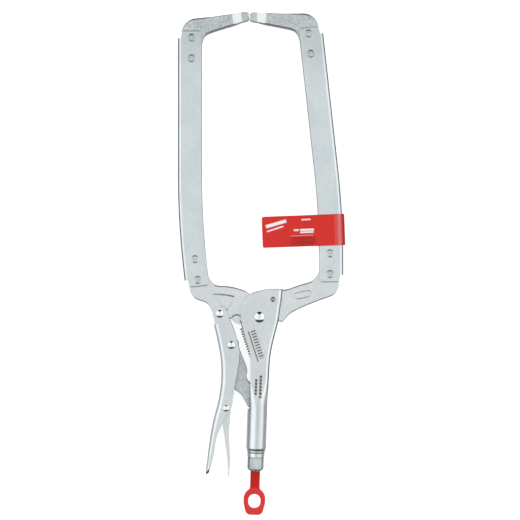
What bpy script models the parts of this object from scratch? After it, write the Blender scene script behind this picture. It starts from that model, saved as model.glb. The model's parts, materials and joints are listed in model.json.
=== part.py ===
"""Locking C clamp, lying flat on its side, for Blender 4.5. Metres, +Z up.

Every outline below is in millimetres from the main pivot, which the fixed handle and the moving jaw share.
x runs to the right, y from the handles to the jaw tips, and z is the thickness, from the middle plane.
"""

import math

import bmesh
import bpy
import numpy as np

MM = 0.001
GAP = 0.3  # clearance between pieces that touch on the real clamp

# Place of the main pivot over the middle of the clamp's footprint, and its height over the bench
PIVOT_X = -2.0
PIVOT_Y = -48.47
PIVOT_Z = 10.35

# Thicknesses across the clamp
JAW_THICK = 9.5
SLOT_THICK = JAW_THICK + 2 * GAP
ARM_SHEET = 2.5
HANDLE_SHEET = 2.5
LEVER_SHEET = 2.0
ARM_WIDE = SLOT_THICK + 2 * ARM_SHEET
HANDLE_WIDE = SLOT_THICK + 2 * HANDLE_SHEET
LEVER_WIDE = SLOT_THICK + 2 * LEVER_SHEET
LINK_THICK = 7.0
RELEASE_WIDE = 9.0
RELEASE_SHEET = 1.2

# Joint centres
MAIN_PIVOT = (0.0, 0.0)
LEVER_PIVOT = (-35.9, 3.0)
LINK_PIVOT = (-25.4, -25.2)
RELEASE_PIVOT = (-30.2, -82.4)
HEAD_PIN = (12.2, 16.0)
SPRING_HOLE = (-17.8, -2.6)
SPRING_ANCHOR = (-2.0, -50.0)

# Adjusting screw: its axis leans 1.9 degrees, and heights along it count from this point
SCREW_POINT = (-2.5, -102.9)
SCREW_LEAN = math.radians(1.9)
SCREW_R = 4.75
SCREW_TOP = 11.6
SCREW_BOTTOM = -36.6
NOSE_TOP = 15.0
LINK_NOSE = (-1.75, -80.0)
LINK_NOSE_R = 4.6

# Arms: one bent channel, used twice
ARM_FOOT = (65.2, 31.6)
ARM_STRAIGHT = 20.0
ARM_BEND_R = 740.0
ARM_BEND = math.radians(6.3)
ARM_UPPER = 130.0
ARM_HALF = 10.7
CARD_UP = 27.2  # how far up the arm's bend the card's middle sits
ARM_WEB_CUT = 6.5
BEND_R = 3.4
BEND_CUT = 3.1

# The moving arm is the fixed arm mirrored, turned by the bend angle and moved
LEFT_TURN = ARM_BEND
LEFT_SHIFT = (11.8, 3.3)
LEFT_TIP_SHIFT = (11.6, 1.5)

FIXED_REACH = -8.6
MOVING_REACH = -9.0

FIXED_RIVETS = [(63.7, 38.9), (63.7, 57.5), (46.4, 237.9), (44.2, 256.2)]
MOVING_RIVETS = [(-55.6, 33.6), (-58.2, 52.3), (-61.4, 233.8), (-61.2, 252.4)]
ARM_RIVET_R = 3.2
ARM_RIVET_SUNK = 0.8
RIVET_STEPS = 16

STEEL = (0.72, 0.75, 0.75)
LINK_STEEL = (0.55, 0.57, 0.58)
CHROME = (0.80, 0.81, 0.81)
RED = (0.74, 0.06, 0.05)
CARD_RED = (0.72, 0.03, 0.02)


def start_scene():
    """Empties the file and makes the two collections."""
    for obj in list(bpy.data.objects):
        bpy.data.objects.remove(obj, do_unlink=True)
    made = []
    for name in ("locking_c_clamp", "cutters"):
        collection = bpy.data.collections.new(name)
        bpy.context.scene.collection.children.link(collection)
        made.append(collection)
    made[1].hide_render = True
    return made


clamp, cutters = start_scene()


def steel(name, color, rough, metallic=1.0):
    material = bpy.data.materials.new(name)
    material.use_nodes = True
    shader = material.node_tree.nodes["Principled BSDF"]
    shader.inputs["Base Color"].default_value = (*color, 1.0)
    shader.inputs["Roughness"].default_value = rough
    shader.inputs["Metallic"].default_value = metallic
    return material


# Outlines


def smooth(points, steps=2):
    """Catmull-Rom curve through the points, with this many pieces between each two."""
    p = np.array([points[0], *points, points[-1]], float)
    out = []
    for a, b, c, d in zip(p[:-3], p[1:-2], p[2:-1], p[3:]):
        for t in np.arange(steps) / steps:
            curve = 2 * b + (c - a) * t + (2 * a - 5 * b + 4 * c - d) * t**2
            out.append(tuple((curve + (3 * b - a - 3 * c + d) * t**3) / 2))
    out.append(tuple(p[-1]))
    return out


def arc(center, radius, start, end, steps=8):
    """Points on a circle, from one angle in degrees to another."""
    angles = np.radians(np.linspace(start, end, steps + 1))
    return [(center[0] + radius * math.cos(a), center[1] + radius * math.sin(a)) for a in angles]


def shifted(points, dx, dy=0.0):
    return [(x + dx, y + dy) for x, y in points]


def to_left(points, shift=LEFT_SHIFT):
    """Carries points of the fixed arm to the moving arm."""
    c = math.cos(LEFT_TURN)
    s = math.sin(LEFT_TURN)
    return [(-x * c - y * s + shift[0], -x * s + y * c + shift[1]) for x, y in points]


def to_left_tip(points):
    return to_left(points, LEFT_TIP_SHIFT)


def arm_edge(offset, start=0.0, end=0.0):
    """A line along the fixed arm, this far outward of its middle, cut back by start and end."""
    x, y = ARM_FOOT
    bend = [
        (x - ARM_BEND_R * (1 - math.cos(a)), y + ARM_STRAIGHT + ARM_BEND_R * math.sin(a), a)
        for a in np.linspace(0, ARM_BEND, 7)
    ]
    bx, by, a = bend[-1]
    upper = ARM_UPPER - end
    line = [(x, y + start, 0.0), *bend, (bx - upper * math.sin(a), by + upper * math.cos(a), a)]
    return [(px + offset * math.cos(a), py + offset * math.sin(a)) for px, py, a in line]


# Solids


def node(name, mesh, collection=None):
    obj = bpy.data.objects.new(name, mesh)
    (collection or clamp).objects.link(obj)
    return obj


def meshed(obj):
    """Turns a curve or a modified object into a plain closed mesh that faces out."""
    bpy.context.view_layer.update()
    evaluated = obj.evaluated_get(bpy.context.evaluated_depsgraph_get())
    mesh = bpy.data.meshes.new_from_object(evaluated)
    name = obj.name
    bpy.data.objects.remove(obj, do_unlink=True)
    mesh.name = name
    edit = bmesh.new()
    edit.from_mesh(mesh)
    bmesh.ops.remove_doubles(edit, verts=edit.verts, dist=1e-6)
    bmesh.ops.recalc_face_normals(edit, faces=edit.faces)
    edit.to_mesh(mesh)
    edit.free()
    return name, mesh


def plate(name, outline, thick, collection=None):
    """A flat piece with this outline, centred on the middle plane."""
    curve = bpy.data.curves.new(name, "CURVE")
    curve.dimensions = "2D"
    curve.fill_mode = "BOTH"
    curve.extrude = thick / 2 * MM
    spline = curve.splines.new("POLY")
    spline.points.add(len(outline) - 1)
    spline.points.foreach_set("co", [v * MM for x, y in outline for v in (x, y, 0, 1 / MM)])
    spline.use_cyclic_u = True
    name, mesh = meshed(node(name, curve))
    return node(name, mesh, collection)


def rim_edges(edit, direction):
    """Edges between a flat face and the side wall that looks along direction; None takes every side."""
    found = []
    for edge in edit.edges:
        normals = [face.normal for face in edge.link_faces]
        caps = [n for n in normals if abs(n.z) > 0.99]
        sides = [n for n in normals if abs(n.z) < 0.01]
        if len(caps) != 1 or len(sides) != 1:
            continue
        if direction is None or sides[0].x * direction[0] + sides[0].y * direction[1] > 0.4:
            found.append(edge)
    return found


def round_rim(obj, radius, direction=None, segments=1):
    edit = bmesh.new()
    edit.from_mesh(obj.data)
    for side in (1, -1):
        caps = [face for face in edit.faces if face.normal.z * side > 0.99]
        bmesh.ops.dissolve_faces(edit, faces=caps)
    edges = rim_edges(edit, direction)
    bmesh.ops.bevel(
        edit, geom=edges, offset=radius * MM, segments=segments, profile=0.5, affect="EDGES"
    )
    edit.to_mesh(obj.data)
    edit.free()
    return obj


def turned(name, profile, place=(0.0, 0.0), lean=None, collection=None, steps=24):
    """A round piece from (radius, height) pairs. It stands along z, or along the leaning screw axis."""
    mesh = bpy.data.meshes.new(name)
    points = [(r * MM, 0.0, h * MM) for r, h in profile]
    mesh.from_pydata(points, [(i, i + 1) for i in range(len(points) - 1)], [])
    obj = node(name, mesh)
    screw = obj.modifiers.new("turn", "SCREW")
    screw.axis = "Z"
    screw.steps = steps
    screw.render_steps = steps
    screw.use_merge_vertices = True
    screw.merge_threshold = 1e-5
    name, mesh = meshed(obj)
    obj = node(name, mesh, collection)
    obj.location = (place[0] * MM, place[1] * MM, 0.0)
    if lean is not None:
        obj.rotation_euler = (-math.pi / 2, 0.0, -lean)
    return obj


def combine(obj, other, operation):
    boolean = obj.modifiers.new(other.name, "BOOLEAN")
    boolean.operation = operation
    boolean.solver = "EXACT"
    boolean.object = other
    other.display_type = "WIRE"
    return obj


def cut(obj, cutter):
    return combine(obj, cutter, "DIFFERENCE")


def cut_plate(obj, outline, thick):
    return cut(obj, plate(obj.name + "_cut", outline, thick, cutters))


def drill(obj, places, radius, half=12.0):
    """Through holes across the clamp at these places."""
    for place in places:
        profile = [(0, -half), (radius, -half), (radius, half), (0, half)]
        cut(obj, turned(obj.name + "_hole", profile, place, collection=cutters))
    return obj


def recess(obj, outline, depth):
    """Sinks an outline into both faces of a jaw plate."""
    for side in (1, -1):
        pocket = plate(obj.name + "_recess", outline, 2 * depth, cutters)
        pocket.location.z = side * JAW_THICK / 2 * MM
        cut(obj, pocket)
    return obj


def dome(radius, height, base, steps=3):
    """Half of a rivet head: a low round dome that starts at height base."""
    angles = np.radians(np.linspace(0, 90, steps + 1))
    rim = 0.35 * height
    crown = height - rim
    return [(radius, base), *[(radius * math.cos(a), base + rim + crown * math.sin(a)) for a in angles]]


def rivet(name, place, shank, head, height, wide):
    """A rivet through a stack this wide, with a domed head on each side."""
    base = wide / 2 + GAP
    half = [(shank, base), *dome(head, height, base)]
    half[-1] = (0.0, half[-1][1])
    profile = [(r, -h) for r, h in reversed(half)] + half
    return turned(name, profile, place, steps=RIVET_STEPS)


# Fixed side


def fixed_handle():
    """The formed handle: two flat cheeks with a web on the right, closing into a round tube lower down."""
    web = [(17.4, -2.9), (15.1, -12), (12.8, -21.1), (10.8, -30.2), (9.5, -39.3), (8.7, -52.9), (8, -66.5)]
    web = smooth([(21, 25.3), (20.1, 15.3), (18.7, 6.2), *web, (7.4, -80)])
    left = [(-16.7, 5.3), (-16.7, 0.7), (-15.8, -5.6), (-13.1, -16.5), (-10.4, -25.6), (-8.8, -32)]
    left = [(-4, 22.5), (-7.6, 21), (-11.3, 18), (-14, 14.4), (-15.8, 9.8), *left, (-8.2, -41.1)]
    left = smooth([(9.6, 25.3), (5.1, 24.6), *left, (-8.1, -52.9), (-8.7, -62), (-9.9, -80)])
    handle = plate("fixed_handle", web + left[::-1], HANDLE_WIDE)
    round_rim(handle, BEND_R, (1, 0), 4)
    tube = [(0, 45), (6.2, 45), (8.0, 34), (8.8, 28), (8.95, 24), (8.95, -16), (8.2, -18.4)]
    tube += [(8.2, -19.4), (7.7, -20.4), (7.7, -24), (0, -24)]
    body = turned("handle_tube", tube, SCREW_POINT, SCREW_LEAN, cutters, 32)
    combine(handle, body, "UNION")
    inner = [point for point in shifted(web, -HANDLE_SHEET) if point[1] < -5]
    slot = [(-30, 40), (40, 40), (40, -4.9), (14.0, -4.9), *inner, (4.3, -92.5), (-30, -92.5)]
    cut_plate(handle, slot, SLOT_THICK)
    bore = [(0, 30), (6.45, 30), (6.45, -30), (0, -30)]
    cut(handle, turned("handle_bore", bore, SCREW_POINT, SCREW_LEAN, cutters, 32))
    drill(handle, [MAIN_PIVOT], 3.5 + GAP)
    drill(handle, [HEAD_PIN], 2.1)
    return drill(handle, [SPRING_ANCHOR], 1.5 + GAP)


def end_sleeve():
    """The eight-sided threaded bush in the bottom of the tube, with the screw's hole through it."""
    sides = 8
    r = (SCREW_R + GAP) / math.cos(math.pi / sides)
    profile = [(r, -18.6), (6.1, -18.6), (6.1, -24.3), (7.3, -24.3), (7.3, -35.0), (6.5, -36.1), (r, -36.1)]
    return turned("end_sleeve", [*profile, profile[0]], SCREW_POINT, SCREW_LEAN, steps=sides)


def fixed_jaw_plate():
    """The forged plate that carries the fixed arm."""
    top = smooth([(21.5, 24.8), (25, 24.8), (36.9, 28.9), (45, 31.2), (48.7, 33), (52.4, 37), (54.8, 41)])
    tongue = [(55.3, 66), (72.9, 66), (72.9, 39)]
    outer = smooth([(71.9, 32.5), (72.4, 29.8), (70.5, 24.4), (67.8, 20.7), (64.2, 18.5), (55, 15.3), (46, 11.8)])
    lower = smooth([(36.9, 8), (33.3, 6.2), (27.8, 3), (23.3, -1.5), (21.5, -4.3)])
    socket = [(17.4, -4.3), (16.0, 0), *arc(MAIN_PIVOT, 10.2, -10, 62, 8), (7.0, 22.5)]
    jaw = plate("fixed_jaw_plate", top + tongue + outer + lower + socket, JAW_THICK)
    round_rim(jaw, 0.7)
    recess(jaw, shifted(capsule(10.0, 2.75, 12), 39.2, 20.1), 0.7)
    drill(jaw, [HEAD_PIN], 2.1)
    return drill(jaw, FIXED_RIVETS[:2], ARM_RIVET_R + GAP)


def capsule(straight, radius, turn):
    """A slot outline centred on zero, turned by this many degrees."""
    ends = arc((straight / 2, 0), radius, -90, 90) + arc((-straight / 2, 0), radius, 90, 270)
    c = math.cos(math.radians(turn))
    s = math.sin(math.radians(turn))
    return [(x * c - y * s, x * s + y * c) for x, y in ends]


def arm_channel(name, carry, rivets):
    """One bent channel arm. Its web is on the outside, and stops short of both ends of its cheeks."""
    out = (1, 0) if carry is None else (-1, 0)
    carry = carry or (lambda points: points)
    web = arm_edge(ARM_HALF)
    free = arm_edge(-ARM_HALF)
    arm = plate(name, carry(web + free[::-1]), ARM_WIDE)
    round_rim(arm, BEND_R, out, 4)
    inner = arm_edge(ARM_HALF - ARM_SHEET, -10, -10)
    mouth = arm_edge(-ARM_HALF - 8, -10, -10)
    cut_plate(arm, carry(inner + mouth[::-1]), SLOT_THICK)
    for i in (0, -1):
        corners = [(ARM_HALF - BEND_CUT, -10), (ARM_HALF + 8, -10), (ARM_HALF + 8, ARM_WEB_CUT)]
        corners.append((ARM_HALF - BEND_CUT, ARM_WEB_CUT))
        notch = [arm_edge(offset, back, back)[i] for offset, back in corners]
        cut_plate(arm, carry(notch), ARM_WIDE + 4)
    return drill(arm, rivets, ARM_RIVET_R + GAP)


def jaw_tip(name, carry, rivets, reach):
    """The cast elbow at an arm's end, with its tongue in the channel and a ground jaw tip."""
    carry = carry or (lambda points: points)
    corner = arc((39.9, 261.4), 13.8, 0, 90)
    tongue = [(36.7, 251), (39.0, 229), (56.2, 231), (53.6, 254.4), (54.0, 256.2)]
    under = smooth([(6.0, 265.5), (17, 263.5), (27.8, 261.2), (32.6, 259.2), (35.3, 255.5)])
    end = [(6.9, 275.2), (-2.2, 276.1), (-7.3, 276.3), (reach, 275.2), (reach, 269.2), (-7.3, 268.1), (-2.2, 267.6)]
    tip = plate(name, carry(under + tongue + corner + end), JAW_THICK)
    round_rim(tip, 0.7)
    for side in (1, -1):
        wedge = [(-40, 3.1), (-2.2, 3.1), (6.9, 4.9), (6.9, 12), (-40, 12)]
        cutter = plate(name + "_thin", wedge, 40, cutters)
        cutter.matrix_world = wedge_place(carry, side)
        cut(tip, cutter)
    return drill(tip, rivets, ARM_RIVET_R + GAP)


def wedge_place(carry, side):
    """Stands a wedge drawn in x and z on the jaw tip of either arm."""
    origin, along = (np.array(p) for p in carry([(0.0, 272.0), (1.0, 272.0)]))
    x = along - origin
    columns = [(x[0], x[1], 0.0), (0.0, 0.0, float(side)), (-x[1], x[0], 0.0)]
    matrix = np.eye(4)
    matrix[:3, :3] = np.array(columns).T
    matrix[:3, 3] = (origin[0] * MM, origin[1] * MM, 0.0)
    return [list(row) for row in matrix.T]


def arm_rivets(prefix, places):
    """Rivets set below the channel's cheeks at both ends."""
    half = ARM_WIDE / 2 - ARM_RIVET_SUNK
    profile = [(0, -half), (ARM_RIVET_R, -half), (ARM_RIVET_R, half), (0, half)]
    return [turned(f"{prefix}_rivet_{i}", profile, place) for i, place in enumerate(places, 1)]


def head_pin():
    """A rolled hollow pin, flared at both ends."""
    half = HANDLE_WIDE / 2
    flare = [(1.8, half), (2.4, half + GAP), (2.4, half + 0.7), (1.5, half + 0.7), (1.2, half)]
    profile = [(r, -z) for r, z in flare] + [(r, z) for r, z in reversed(flare)]
    return turned("head_pin", [*profile, profile[0]], HEAD_PIN, steps=RIVET_STEPS)


def spring_anchor_pin():
    return rivet("spring_anchor_pin", SPRING_ANCHOR, 1.5, 2.1, 0.4, HANDLE_WIDE)


def card_sleeve():
    """A printed card folded round the fixed arm, with its front panel reaching across the throat."""
    skin = 0.5
    fold = 5.0
    left, right, reach = -13.6, 12.63, -62.3
    top = ARM_WIDE / 2 + GAP + 1.3
    high = 28.1
    # Outlines in the card's own x, across the arm, and its thickness
    lower = arc((right - fold, fold - top), fold, -90, 0, 5)
    upper = arc((right - fold, top - fold), fold, 0, 90, 5)
    panel = [(reach, top), (reach, top - skin), (left, top - skin), (left, -top)]
    shell = plate("card_sleeve", lower + upper + panel, high)
    inside = fold - skin
    lower = arc((right - fold, fold - top), inside, -90, 0, 5)
    upper = arc((right - fold, top - fold), inside, 0, 90, 5)
    cut_plate(shell, lower + upper + [(left + skin, top - skin), (left + skin, skin - top)], high + 10)
    turn = CARD_UP / ARM_BEND_R
    for obj in (shell, shell.modifiers[0].object):
        obj.rotation_euler = (math.pi / 2, 0.0, turn)
        obj.location.x = (ARM_FOOT[0] - ARM_BEND_R * (1 - math.cos(turn))) * MM
        obj.location.y = (ARM_FOOT[1] + ARM_STRAIGHT + ARM_BEND_R * math.sin(turn)) * MM
    return shell


# Moving jaw


def moving_jaw_plate():
    """The forged plate of the moving arm, with a sunk pocket and a thin tab for the spring."""
    outer = smooth([(-63.1, 24.4), (-61.3, 20.7), (-58.5, 17), (-54, 14.8), (-49.4, 13.5), (-45.8, 10.7), (-43.7, 7)])
    heel = arc(LEVER_PIVOT, 6.5, 170, 320, 8)
    under = smooth([(-27.0, -1.9), (-24.6, 0.3), (-21.6, 0.2), (-20.6, -2.6), (-19.6, -5.0), (-17.8, -5.6)])
    hub = arc(MAIN_PIVOT, 9.4, 205, 420, 16)
    crown = [(3.6, 12.2), (-2.2, 17.6)]
    top = smooth([(-8.5, 20.3), (-13, 23.5), (-19.5, 25.7), (-26.7, 27.4), (-34, 28), (-39.5, 28.5), (-42.2, 30.3)])
    neck = smooth([(-44.9, 33.5), (-47.2, 39)])
    tongue = [(-50.3, 63.5), (-67.6, 61.6), (-64.8, 36)]
    outline = outer + heel + under + [(-14.8, -5.0)] + hub + crown + top + neck + tongue
    jaw = plate("moving_jaw_plate", outline, JAW_THICK)
    round_rim(jaw, 0.7)
    recess(jaw, smooth([(-41.5, 20.6), (-32, 20.2), (-22.8, 18.6), (-26, 12), (-29.6, 6.2), (-35.5, 13), (-41.5, 20.6)]), 1.2)
    recess(jaw, arc(SPRING_HOLE, 4.6, 0, 360, 16)[:-1], JAW_THICK / 2 - 1.5)
    drill(jaw, [SPRING_HOLE], 1.0)
    drill(jaw, [MAIN_PIVOT], 3.5 + GAP)
    drill(jaw, [LEVER_PIVOT], 2.6 + GAP)
    return drill(jaw, MOVING_RIVETS[:2], ARM_RIVET_R + GAP)


# Moving handle


def moving_handle():
    """The long U-section lever that closes the clamp."""
    web = [(-39.5, -14.7), (-37.6, -23.8), (-36.1, -32), (-34.9, -41.1), (-34.6, -52.9), (-35.4, -64.7), (-37.2, -75.6)]
    web += [(-39.5, -84.7), (-41.9, -93.8), (-43.7, -102.9), (-45.1, -112), (-46.4, -121.1), (-47.4, -130.2)]
    web = smooth([(-41.5, -6.5), *web, (-48.3, -137.4), (-48.7, -142.9)], 2)
    free = [(-24, -9.3), (-21.5, -16.5), (-19.2, -25.6), (-18, -32), (-18.5, -39.3), (-19.5, -45.6), (-20.8, -52.9)]
    free += [(-22.2, -60.2), (-23.1, -66.5), (-24.6, -79.3), (-26.3, -84.4), (-30.4, -90.2), (-33.1, -95.6)]
    free = smooth([(-26.7, -2.9), *free, (-36.7, -102.9), (-39.9, -113.8), (-42.2, -128.4), (-45.8, -141.2)], 2)
    head = arc(LEVER_PIVOT, 6.6, 28, 195, 10)
    handle = plate("moving_handle", head + web + free[::-1], LEVER_WIDE)
    round_rim(handle, 2.6, (-1, 0), 3)
    inner = shifted(web[1:], LEVER_SHEET)
    slot = [(-60, 20), (-60, -7.5), (-41.0, -7.5), *inner, (-46.7, -150), (0, -150), (0, 20)]
    cut_plate(handle, slot, SLOT_THICK)
    drill(handle, [LEVER_PIVOT], 2.6 + GAP)
    drill(handle, [LINK_PIVOT], 2.6 + GAP)
    return drill(handle, [RELEASE_PIVOT], 2.0 + GAP)


def toggle_link():
    """The thick link between the moving handle and the screw's nose."""
    right = [(-18.4, -28.5), (-14.9, -37.5), (-12.2, -44.7), (-11.1, -49.3), (-11.7, -52), (-11.9, -54.7)]
    right = smooth([*right, (-10.8, -57.4), (-9, -59.7), (-5, -66), (1.4, -76.5)])
    nose = arc(LINK_NOSE, LINK_NOSE_R, 20, -130)
    lower = smooth([(-10.6, -81.4), (-11.3, -79.7), (-14, -74.7), (-16.7, -70.2), (-19.5, -67.9), (-22.0, -66.6)])
    back = smooth([(-23.6, -63), (-25.2, -52), (-28.6, -40), (-31.6, -30.5)])
    head = arc(LINK_PIVOT, 6.8, 210, 10)
    link = plate("toggle_link", right + nose + lower + back + head, LINK_THICK)
    round_rim(link, 0.6)
    return drill(link, [LINK_PIVOT], 2.6 + GAP)


def release_lever():
    """The small formed lever that trips the link. Its web faces the fixed handle."""
    web = [(-26.3, -84.7), (-26.7, -92), (-27.4, -100.2), (-27.9, -107.4), (-27.6, -114.7), (-27, -125.6)]
    web = smooth([(-26.0, -79.0), *web, (-26.5, -132.9), (-27.3, -139.3), (-27.9, -145.2)], 2)
    free = [(-30.5, -117.4), (-31.5, -110.2), (-32.5, -102.9), (-33.6, -95.6), (-34.6, -88)]
    free = smooth([(-28.9, -143.8), (-28.9, -132.9), (-29.5, -125.6), *free], 2)
    head = [*arc(RELEASE_PIVOT, 4.6, 190, 95, 5), (-28.6, -73.4), (-26.6, -73.0)]
    lever = plate("release_lever", web + free + head, RELEASE_WIDE)
    round_rim(lever, 1.2, (1, 0), 2)
    inner = shifted(web, -RELEASE_SHEET)
    slot = [(-27.2, -60), *inner, (-29.1, -150), (-60, -150), (-60, -60)]
    cut_plate(lever, slot, RELEASE_WIDE - 2 * RELEASE_SHEET)
    return drill(lever, [RELEASE_PIVOT], 2.0 + GAP)


# Adjusting screw


def nose_pad():
    """The hardened button on the screw's end that the link bears on."""
    high = NOSE_TOP
    profile = [(0, high), (4.2, high), (5.4, high - 1.2), (5.4, high - 2.6), (4.2, high - 3.1), (0, high - 3.1)]
    return turned("nose_pad", profile, SCREW_POINT, SCREW_LEAN, steps=32)


def adjusting_screw():
    profile = [(0, SCREW_TOP), (4.0, SCREW_TOP), (SCREW_R, SCREW_TOP - 1.0), (SCREW_R, SCREW_BOTTOM), (0, SCREW_BOTTOM)]
    return turned("adjusting_screw", profile, SCREW_POINT, SCREW_LEAN, steps=32)


def thumb_ring():
    """The flat ring on the screw's end, with its neck."""
    center = -64.6
    outline = arc((0, center + 2.0), 9.85, 0, 60, 6) + [(4.35, center + 12.6), (4.35, SCREW_BOTTOM - GAP)]
    right = [*arc((3.0, -71.7), 5.4, -78, -8, 5), (9.85, -66.0)]
    outline = right + outline
    outline = outline + [(-x, y) for x, y in outline[::-1]]
    ring = plate("thumb_ring", outline, 5.0)
    round_rim(ring, 1.3, None, 3)
    cut_plate(ring, shifted(arc((0, 1.0), 5.6, 0, 180, 12) + arc((0, -1.0), 5.6, 180, 360, 12), 0, center), 8)
    for obj in (ring, ring.modifiers[0].object):
        obj.location = (SCREW_POINT[0] * MM, SCREW_POINT[1] * MM, 0.0)
        obj.rotation_euler.z = -SCREW_LEAN
    return ring


def return_spring():
    """The extension spring: a coil with a hook through the jaw's tab and a hook round the anchor pin."""
    top = np.array(SPRING_HOLE)
    foot = np.array(SPRING_ANCHOR)
    along = (foot - top) / np.linalg.norm(foot - top)
    length = np.linalg.norm(foot - top)
    radius, wire, turns, per_turn = 2.3, 0.42, 15, 8
    start, end = 7.0, length - 7.5
    # Points in the spring's own frame: distance along it, distance across it, height
    t = np.linspace(0, 1, turns * per_turn + 1)
    angle = 2 * np.pi * turns * t
    coil = np.stack([start + (end - start) * t, radius * np.sin(angle), radius * np.cos(angle)], axis=1)
    hook = [(0.0, 0.0, -2.4), (0.0, 0.0, 1.6), (0.6, 0.0, radius), (start - 1.0, 0.0, radius)]
    loop = [(length + 2.25 * math.sin(a), 2.25 * math.cos(a), 0.0) for a in np.radians(np.linspace(0, 200, 9))]
    lead = [(end + 1.5, 0.9, radius * 0.55), (end + 3.2, 2.1, 0.0)]
    route = np.array([*hook, *coil, *lead, *loop])
    across = np.array((-along[1], along[0]))
    flat = top + route[:, :1] * along + route[:, 1:2] * across
    points = np.column_stack([flat, route[:, 2]]) * MM
    curve = bpy.data.curves.new("return_spring", "CURVE")
    curve.dimensions = "3D"
    curve.bevel_depth = wire * MM
    curve.bevel_resolution = 0
    curve.use_fill_caps = True
    spline = curve.splines.new("POLY")
    spline.points.add(len(points) - 1)
    spline.points.foreach_set("co", np.column_stack([points, np.ones(len(points))]).ravel())
    name, mesh = meshed(node("return_spring", curve))
    return node(name, mesh)


# Bodies


def body(name, place, pieces, parent, parent_place, material):
    """Hangs these pieces on an empty that stands on their joint, without moving them."""
    empty = bpy.data.objects.new(name, None)
    clamp.objects.link(empty)
    empty.parent = parent
    empty.location = ((place[0] - parent_place[0]) * MM, (place[1] - parent_place[1]) * MM, 0.0)
    for piece in pieces:
        helpers = [modifier.object for modifier in piece.modifiers if modifier.type == "BOOLEAN"]
        for obj in (piece, *helpers):
            obj.parent = empty
            obj.location.x -= place[0] * MM
            obj.location.y -= place[1] * MM
        piece.data.materials.clear()
        piece.data.materials.append(material)
    return empty


def main():
    plated = steel("plated_steel", STEEL, 0.35)
    dark = steel("link_steel", LINK_STEEL, 0.4)
    chrome = steel("rivet_steel", CHROME, 0.2)
    ring_red = steel("ring_red", RED, 0.4, 0.0)
    card_red = steel("card_red", CARD_RED, 0.6, 0.0)

    root = body("main_pivot", MAIN_PIVOT, [], None, MAIN_PIVOT, plated)
    root.location = (PIVOT_X * MM, PIVOT_Y * MM, PIVOT_Z * MM)

    fixed = [fixed_handle(), end_sleeve(), fixed_jaw_plate(), arm_channel("fixed_arm_channel", None, FIXED_RIVETS)]
    fixed.append(jaw_tip("fixed_jaw_tip", None, FIXED_RIVETS[2:], FIXED_REACH))
    body("fixed_side", MAIN_PIVOT, fixed, root, MAIN_PIVOT, plated)
    pins = [rivet("main_pivot_rivet", MAIN_PIVOT, 3.5, 5.0, 2.5, HANDLE_WIDE), head_pin(), spring_anchor_pin()]
    body("fixed_pins", MAIN_PIVOT, pins + arm_rivets("fixed", FIXED_RIVETS), root, MAIN_PIVOT, chrome)
    body("spring_mount", MAIN_PIVOT, [return_spring()], root, MAIN_PIVOT, dark)
    body("card_mount", MAIN_PIVOT, [card_sleeve()], root, MAIN_PIVOT, card_red)

    jaw = [moving_jaw_plate(), arm_channel("moving_arm_channel", to_left, MOVING_RIVETS)]
    jaw.append(jaw_tip("moving_jaw_tip", to_left_tip, MOVING_RIVETS[2:], MOVING_REACH))
    swing = body("jaw_swing", MAIN_PIVOT, jaw, root, MAIN_PIVOT, plated)
    jaw_pins = [rivet("lever_pivot_rivet", LEVER_PIVOT, 2.6, 3.65, 1.6, LEVER_WIDE)]
    body("jaw_pins", MAIN_PIVOT, jaw_pins + arm_rivets("moving", MOVING_RIVETS), swing, MAIN_PIVOT, chrome)

    lever = body("lever_swing", LEVER_PIVOT, [moving_handle()], swing, MAIN_PIVOT, plated)
    lever_pins = [rivet("link_rivet", LINK_PIVOT, 2.6, 3.65, 1.6, LEVER_WIDE)]
    lever_pins.append(rivet("release_rivet", RELEASE_PIVOT, 2.0, 3.0, 1.2, LEVER_WIDE))
    body("lever_pins", LEVER_PIVOT, lever_pins, lever, LEVER_PIVOT, chrome)
    body("link_swing", LINK_PIVOT, [toggle_link()], lever, LEVER_PIVOT, dark)
    body("release_swing", RELEASE_PIVOT, [release_lever()], lever, LEVER_PIVOT, plated)

    nose = body("screw_slide", SCREW_POINT, [nose_pad()], root, MAIN_PIVOT, dark)
    spin = body("screw_spin", SCREW_POINT, [adjusting_screw()], nose, SCREW_POINT, plated)
    body("ring_mount", SCREW_POINT, [thumb_ring()], spin, SCREW_POINT, ring_red)


main()
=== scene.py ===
import json
import math

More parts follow.
